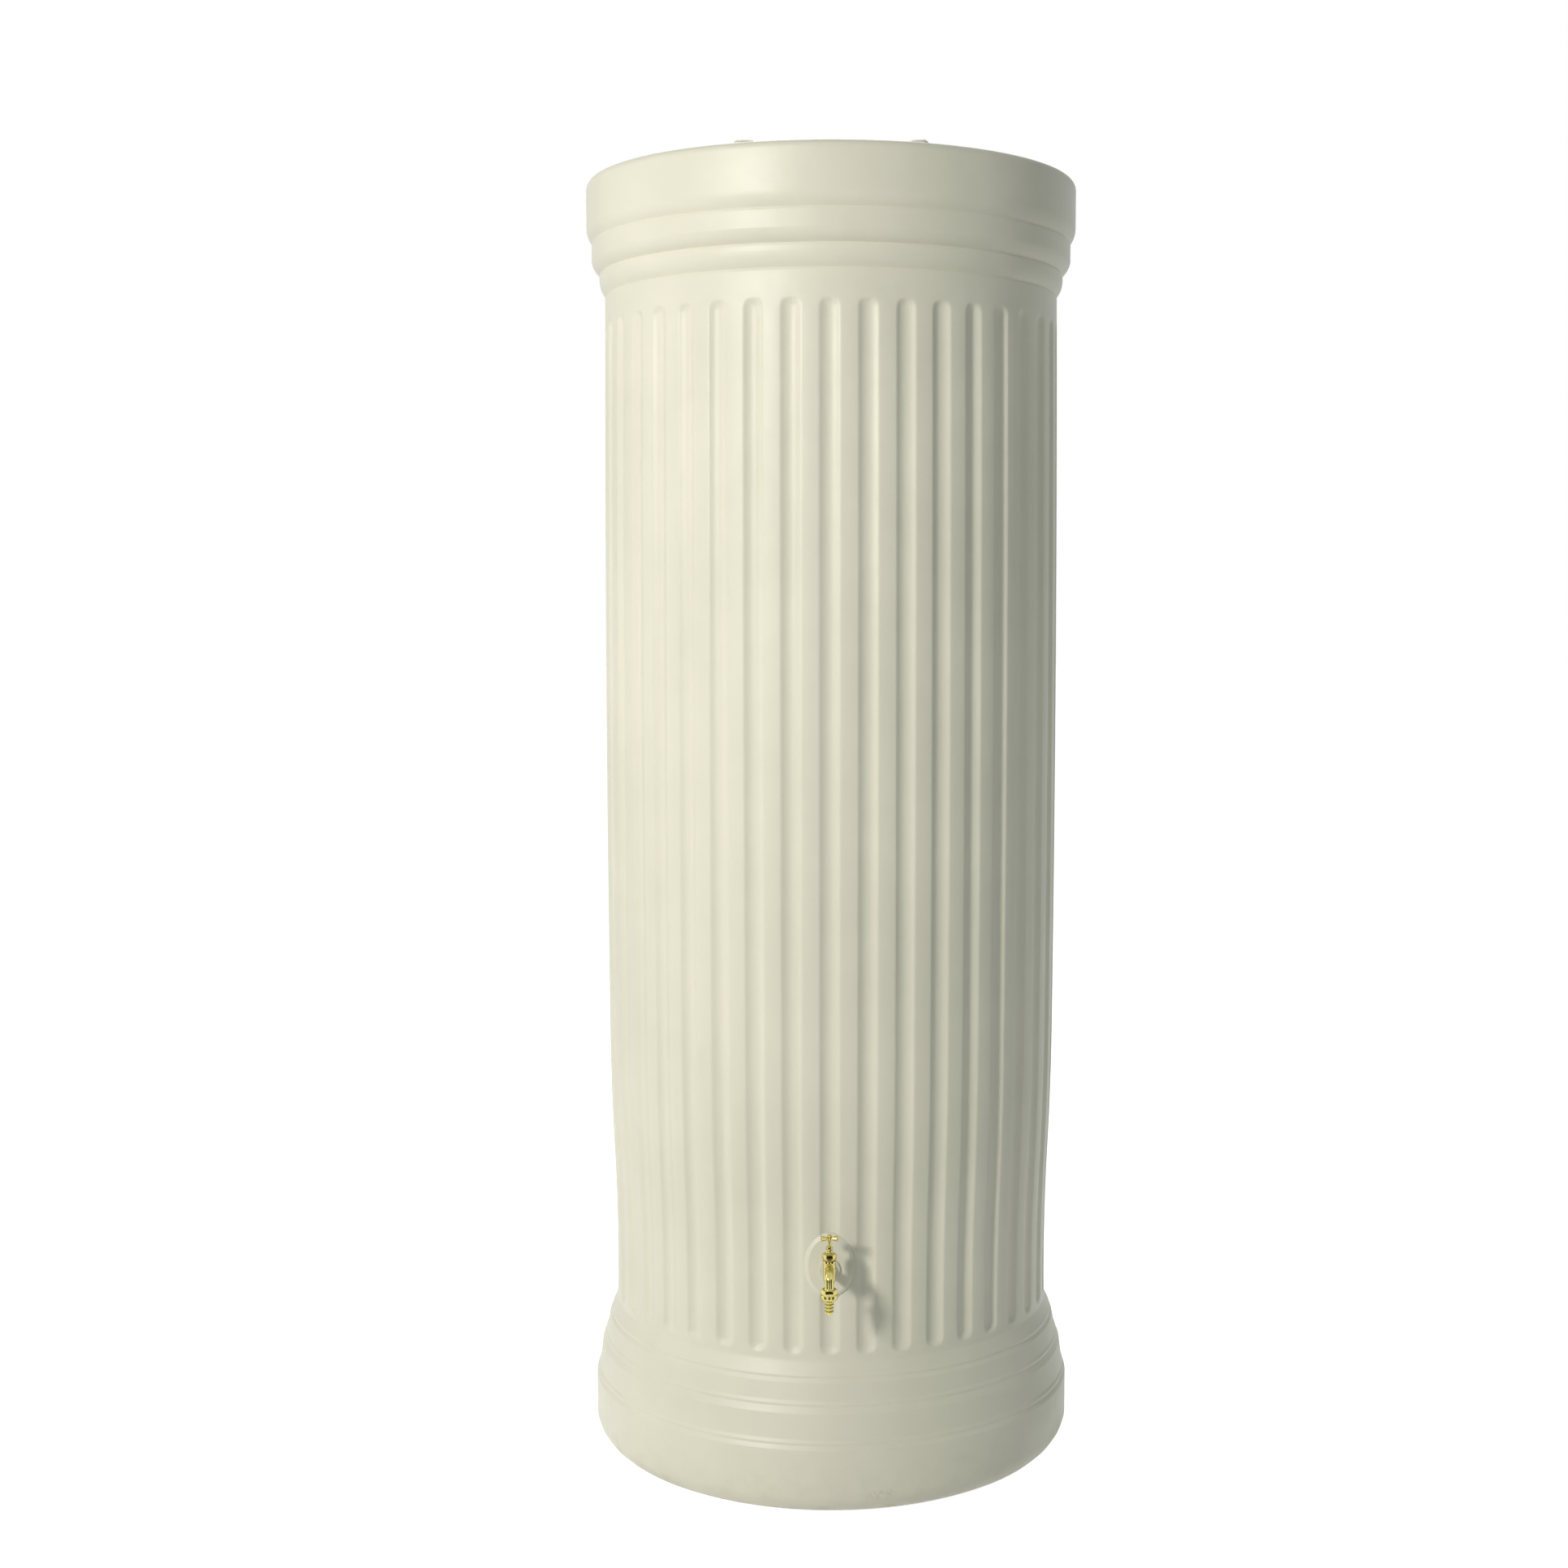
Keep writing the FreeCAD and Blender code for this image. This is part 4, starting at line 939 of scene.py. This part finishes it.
def tap_machined(t):
    """The turned ends of the casting: collar, bead, shoulder and both threads."""
    back, top, spout_top = t.inlet_reach, t.barrel_top, -t.spout_thread_top
    collar = sleeve(t.bore, t.inlet_collar, back - t.inlet_collar_width, back)
    bead = trace([
        (t.chamber, top), (t.chamber, top - 4.5), (t.barrel - 0.3, top - 4.5),
        (t.bead, top - 2, 0.5), (t.bead, top),
    ])
    shoulder_top = spout_top + 2.2
    shoulder = [
        (t.bore, spout_top), (t.thread - 0.2, spout_top),
        (t.spout - 0.1, shoulder_top), (t.bore, shoulder_top),
    ]
    return (
        turned(collar, 72, BARREL_FOOT, "Y"),
        turned(bead, 72, BARREL_FOOT),
        turned(shoulder, 64, SPOUT_FOOT),
        turned(threaded(t, -t.spout_end, spout_top), 64, SPOUT_FOOT),
        turned(threaded(t, back, back + t.thread_length), 64, BARREL_FOOT, "Y"),
    )


def merge(name, *pieces):
    """One object that holds the meshes of several, which are removed."""
    edit = bmesh.new()
    for piece in pieces:
        edit.from_mesh(piece.data)
        bpy.data.objects.remove(piece)
    mesh = bpy.data.meshes.new(name)
    edit.to_mesh(mesh)
    edit.free()
    return new_object(name, mesh)


def bevelled_hexagon(flats, low, high, inner, both=True):
    """A hexagon nut's outline at an angle, its bevels cones, so its edges curve over each flat."""
    land = flats / 2 - 0.05 * flats

    def outline(angle):
        across = (math.degrees(angle) % 60) - 30
        side = flats / 2 / math.cos(math.radians(across))
        drop = (side - land) * 0.55
        bottom = [(side, low + drop), (land, low)] if both else [(side, low)]
        return [(inner, high), (land, high), (side, high - drop)] + bottom + [(inner, low)]

    return outline


def tap_headwork():
    """The bonnet, a bevelled hexagon with a cone, a neck and a skirt, and the gland nut."""
    t = in_mm("tank_tap")
    base = node_high("bonnet_gasket").z / MM - BARREL_FOOT.z / MM
    bore, wide_bore, screw_bore = t.stem + 0.1, t.stem + 0.9, t.stem + 0.05
    cone_foot, cone = t.bonnet_hex_top, t.bonnet_neck + 1.6
    neck = trace([
        (bore, cone_foot - 0.5), (cone, cone_foot - 0.5), (cone, cone_foot + 0.5, 0.3),
        (t.bonnet_neck, cone_foot + 1.3, 0.4), (t.bonnet_neck, t.bonnet_top, 0.25),
        (wide_bore, t.bonnet_top), (wide_bore, t.bonnet_top - 4), (bore, t.bonnet_top - 4),
    ])
    turned_piece(
        "tap_bonnet", "tank", "bonnet", t.edge,
        turned(bevelled_hexagon(t.bonnet_flats, base, cone_foot, bore), HEXAGON, BARREL_FOOT),
        turned(neck, 64, BARREL_FOOT),
        turned(sleeve(3.2, t.chamber - 0.1, base - 6.6, base + 0.5), 64, BARREL_FOOT),
    )
    gland = bevelled_hexagon(t.gland_flats, t.bonnet_top + 0.3, t.gland_top, screw_bore)
    turned_piece(
        "tap_gland", "tank", "gland_nut", t.edge * 0.7,
        turned(gland, HEXAGON, BARREL_FOOT),
        turned(sleeve(screw_bore, 2.7, t.bonnet_top - 2.4, t.bonnet_top + 0.5), 48, BARREL_FOOT),
    )


def both_ways(profile):
    """A profile of one half of a bar, followed by its mirror image."""
    return profile + [(radius, -along, *rest[:1]) for radius, along, *rest in reversed(profile)]


def tap_tee():
    """The handle: a bar with flared ends forged in one with its hub, and the pin through them."""
    t = in_mm("tank_tap")
    half, low, high = t.tee_length / 2, t.tee_height - t.hub_drop, t.tee_height + t.hub_rise
    bar = trace(both_ways([
        (0, -half), (t.tee_end, -half, 0.4), (t.tee_end, 1.3 - half, 0.5),
        (t.tee_middle, -2.2, 1.0),
    ]))
    hub_foot = [(0, low), (t.hub - 1.2, low, 0.3), (t.hub, low + 1.2, 0.6)]
    hub = trace(hub_foot + [(t.hub, high, 2.0), (0, high)], 5)
    middle = BARREL_FOOT + Vector((0, 0, t.tee_height * MM))
    tee = new_piece("tap_tee", turned(bar, 56, middle, "X"), turned(hub, 64, BARREL_FOOT))
    run_together(tee, 0.14, 4, 0.4)
    finish(tee, "turned_brass", "spindle", "tee_handle", smooth=60)
    reach = 3.5
    rivet = [(0, -reach - 0.1), (t.pin + 0.35, -reach + 0.25, 0.15, 0.2), (t.pin, -reach + 0.4)]
    pin = new_piece("handle_rivet", turned(trace(both_ways(rivet), 3), 32, middle, "Y"))
    finish(pin, "turned_brass", "spindle", "handle_pin")


def coupling_nut():
    """Bevelled hexagon above and a thick rolled flange below."""
    t = in_mm("tank_tap")
    top, bottom = -t.nut_top, -(t.nut_top + t.nut_length)
    middle, bore, outlet = top - t.nut_hex, t.thread + 0.06, 4.85
    flange = trace([
        (bore, middle), (t.nut_flange - 1.2, middle, 0.3), (t.nut_flange, middle - 1.1, 0.6),
        (t.nut_flange, bottom, 4.2), (outlet, bottom, 0.3), (outlet, bottom + 1.7),
        (bore, bottom + 1.7),
    ], 5)
    hexagon = bevelled_hexagon(t.nut_flats, middle - 0.6, top, bore, both=False)
    turned_piece(
        "coupling_nut", "union_nut", "union_nut", t.edge,
        turned(hexagon, HEXAGON, SPOUT_FOOT),
        turned(flange, 96, SPOUT_FOOT),
    )


def barbed_tail():
    """Collar, neck and barbs, each with a sharp upper edge and a slope below."""
    t = in_mm("tank_tap")
    top = node_high("hose_tail").z / MM - SPOUT_FOOT.z / MM
    bore = t.bore - 0.5
    shelf = top - 2
    outline = [(bore, top), (t.tail_collar, top), (t.tail_collar, shelf), (t.tail_neck, shelf, 0.3)]
    edge = node_low("hose_tail").z / MM - SPOUT_FOOT.z / MM + t.barb_count * t.barb_pitch
    for barb in range(t.barb_count):
        outline += [
            (t.tail_neck, edge), (t.barb, edge, 0.12),
            (t.barb - 0.2, edge - 1.9, 0.3), (t.tail_neck, edge - 2.5),
        ]
        edge -= t.barb_pitch
    outline = trace(outline + [(t.tail_neck, edge, 0.2), (bore, edge, 0.2)], 3)
    turned_piece(
        "barbed_tail", "hose_connector", "hose_tail", t.edge * 0.5,
        turned(outline, 72, SPOUT_FOOT), smooth=30,
    )


def tap_washer():
    """The pale washer between the tap's collar and the pad, its outer edge rounded."""
    inner, outer, thick = 6.6, 12.3, 3
    outline = trace([(inner, 0), (inner, -thick, 0.3), (outer, -thick, 1.2), (outer, 0, 0.6)], 5)
    washer = new_piece("pad_washer", turned(outline, 96, PAD_FACE, "Y"))
    finish(washer, "pale_washer", "tank", "tap_seal")


# Solids that stay in the scene, by their finish
CARRIED = {
    "turned_brass": ("threaded_insert", "gland_ring", "valve_jumper", "jumper_nut", "spindle"),
    "rubber": ("valve_washer", "hose_washer", "lid_seal"),
    "fibre": ("bonnet_gasket",),
    "packing": ("gland_packing",),
}


def carried_solids():
    """Gives the solids that stay their own finishes."""
    for look, names in CARRIED.items():
        for name in names:
            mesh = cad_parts[name].data
            mesh.materials.clear()
            mesh.materials.append(material(look))


# The stage

FLOOR_REACH = 30
FLOOR_HEIGHT = -0.0004
FLOOR_GLOW = 0.9

# The side lamp's power as a share of the key lamp's
SIDE_SHARE = 0.12

# Dark cards round the tap: distance, lower and upper edge, and each one's angle and width
CARD_DISTANCE = 0.6
CARD_FOOT, CARD_TOP = 0.002, 0.5
CARDS = ((-52, 0.36), (2, 0.30), (52, 0.36))


def area_lamp(name, power, size, place, aim, shade):
    """A rectangular lamp that points at a height on the column's axis."""
    lamp = bpy.data.lights.new(name, "AREA")
    lamp.shape = "RECTANGLE"
    lamp.size, lamp.size_y = size
    lamp.energy = power
    lamp.color = shade
    holder = new_object(name, lamp)
    holder.location = place
    beam = Vector((0, 0, aim)) - Vector(place)
    holder.rotation_euler = beam.to_track_quat("-Z", "Y").to_euler()


def stage_camera(s):
    camera = bpy.data.cameras.new("camera")
    camera.sensor_width = 36
    camera.lens = s.lens
    camera.shift_x = s.shift_x
    holder = new_object("camera", camera)
    away = Vector((math.sin(s.azimuth), -math.cos(s.azimuth), 0)) * s.distance
    holder.location = away + Vector((0, 0, s.height))
    holder.rotation_euler = (math.pi / 2 - s.tilt, 0, s.azimuth)
    bpy.context.scene.camera = holder


def stage_world(s):
    """White to the camera, in gloss and through glass, and a dimmer even light on everything."""
    paint = Paint("surround", "worlds")
    seen = paint.seen()
    light = {
        "Color": paint.blend(seen, s.surround_shade, (1, 1, 1)),
        "Strength": seen * (1 - s.surround) + s.surround,
    }
    background = paint.node("Background", {}, light)
    bpy.context.scene.world = paint.shown(background, "OutputWorld")


def card_strip(azimuth, width):
    """A standing strip in front of the tap, at an angle to its front in degrees."""
    angle = math.radians(azimuth)
    outward = Vector((math.sin(angle), -math.cos(angle), 0))
    across = Vector((math.cos(angle), math.sin(angle), 0)) * (width / 2)
    middle = BARREL_FOOT + outward * CARD_DISTANCE
    ends = ((-1, CARD_FOOT), (1, CARD_FOOT), (1, CARD_TOP), (-1, CARD_TOP))
    return [Vector((*(middle + across * way).xy, height)) for way, height in ends], [(0, 1, 2, 3)]


def stage_piece(name, look, *parts):
    """A piece that belongs to the stage and not to the object."""
    piece = new_piece(name, *parts)
    piece.data.materials.append(look)
    return piece


def white_stage():
    """Camera, surround, floor, lamps and the dark cards that only gloss shows."""
    s = bpy.context.scene.tank_stage
    stage_camera(s)
    stage_world(s)
    ways = ((-1, -1), (1, -1), (1, 1), (-1, 1))
    corners = [Vector((x * FLOOR_REACH, y * FLOOR_REACH, FLOOR_HEIGHT)) for x, y in ways]
    stage_piece("floor", white_floor(FLOOR_GLOW), (corners, [(0, 1, 2, 3)]))
    side = s.key * SIDE_SHARE
    area_lamp("key_lamp", s.key, (0.45, 0.6), (-2.15, -3.15, 2.1), 0.9, (1.0, 0.985, 0.95))
    area_lamp("side_lamp", side, (0.8, 2.0), (-3.0, 0.0, 1.4), 0.85, (1.0, 0.99, 0.97))
    area_lamp("fill_lamp", s.fill, (1.6, 1.8), (2.6, -1.6, 1.4), 0.8, (0.93, 1.0, 0.98))
    area_lamp("rear_lamp", s.rear, (1.2, 1.2), (-0.1, 2.9, 3.7), 0.85, (1.0, 0.99, 0.96))
    cards = stage_piece("dark_cards", dark_card(), *(card_strip(*card) for card in CARDS))
    for rays in ("camera", "diffuse", "shadow", "transmission"):
        setattr(cards, "visible_" + rays, False)
    bpy.context.scene.view_settings.view_transform = "Standard"


# Operators, panel and registration


class TANK_OT_shell(bpy.types.Operator):
    """Builds the fluted column with its pad"""

    bl_idname = "tank.shell"
    bl_label = "Tank shell"

    def execute(self, context):
        tank_shell()
        return {"FINISHED"}


class TANK_OT_lid(bpy.types.Operator):
    """Builds the screw lid with its grips"""

    bl_idname = "tank.lid"
    bl_label = "Lid"

    def execute(self, context):
        lid_cap()
        return {"FINISHED"}


class TANK_OT_casting(bpy.types.Operator):
    """Builds the tap's body with its threads"""

    bl_idname = "tank.casting"
    bl_label = "Tap casting"

    def execute(self, context):
        tap_casting()
        return {"FINISHED"}


class TANK_OT_headwork(bpy.types.Operator):
    """Builds the tap's bonnet and gland nut"""

    bl_idname = "tank.headwork"
    bl_label = "Bonnet and gland"

    def execute(self, context):
        tap_headwork()
        return {"FINISHED"}


class TANK_OT_handle(bpy.types.Operator):
    """Builds the tee handle and its pin"""

    bl_idname = "tank.handle"
    bl_label = "Handle"

    def execute(self, context):
        tap_tee()
        return {"FINISHED"}


class TANK_OT_coupling(bpy.types.Operator):
    """Builds the coupling nut and the hose tail"""

    bl_idname = "tank.coupling"
    bl_label = "Coupling nut and tail"

    def execute(self, context):
        coupling_nut()
        barbed_tail()
        return {"FINISHED"}


class TANK_OT_washer(bpy.types.Operator):
    """Builds the pad washer and finishes the inner solids"""

    bl_idname = "tank.washer"
    bl_label = "Washer and inner parts"

    def execute(self, context):
        tap_washer()
        carried_solids()
        return {"FINISHED"}


class TANK_OT_stage(bpy.types.Operator):
    """Sets the floor, the lamps and the camera"""

    bl_idname = "tank.stage"
    bl_label = "Stage"

    def execute(self, context):
        white_stage()
        return {"FINISHED"}


OPERATORS = (
    TANK_OT_shell, TANK_OT_lid, TANK_OT_casting, TANK_OT_headwork,
    TANK_OT_handle, TANK_OT_coupling, TANK_OT_washer, TANK_OT_stage,
)

GROUPS = {
    "tank_column": ColumnSizes,
    "tank_lid": LidSizes,
    "tank_tap": TapSizes,
    "tank_finishes": Finishes,
    "tank_stage": StageSizes,
}


class TANK_PT_panel(bpy.types.Panel):
    """Lists the builders and the sizes"""

    bl_label = "Water tank"
    bl_idname = "TANK_PT_panel"
    bl_space_type = "VIEW_3D"
    bl_region_type = "UI"
    bl_category = "Water tank"

    def draw(self, context):
        for kind in OPERATORS:
            self.layout.operator(kind.bl_idname)
        for name, group in GROUPS.items():
            box = self.layout.box()
            for entry in group.__annotations__:
                box.prop(getattr(context.scene, name), entry)


CLASSES = (*GROUPS.values(), *OPERATORS, TANK_PT_panel)


def register():
    for kind in CLASSES:
        bpy.utils.register_class(kind)
    for name, group in GROUPS.items():
        setattr(bpy.types.Scene, name, bpy.props.PointerProperty(type=group))


def unregister():
    for name in GROUPS:
        delattr(bpy.types.Scene, name)
    for kind in reversed(CLASSES):
        bpy.utils.unregister_class(kind)


def main():
    register()
    for kind in OPERATORS:
        getattr(bpy.ops.tank, kind.bl_idname.split(".")[1])()


if __name__ == "__main__":
    main()
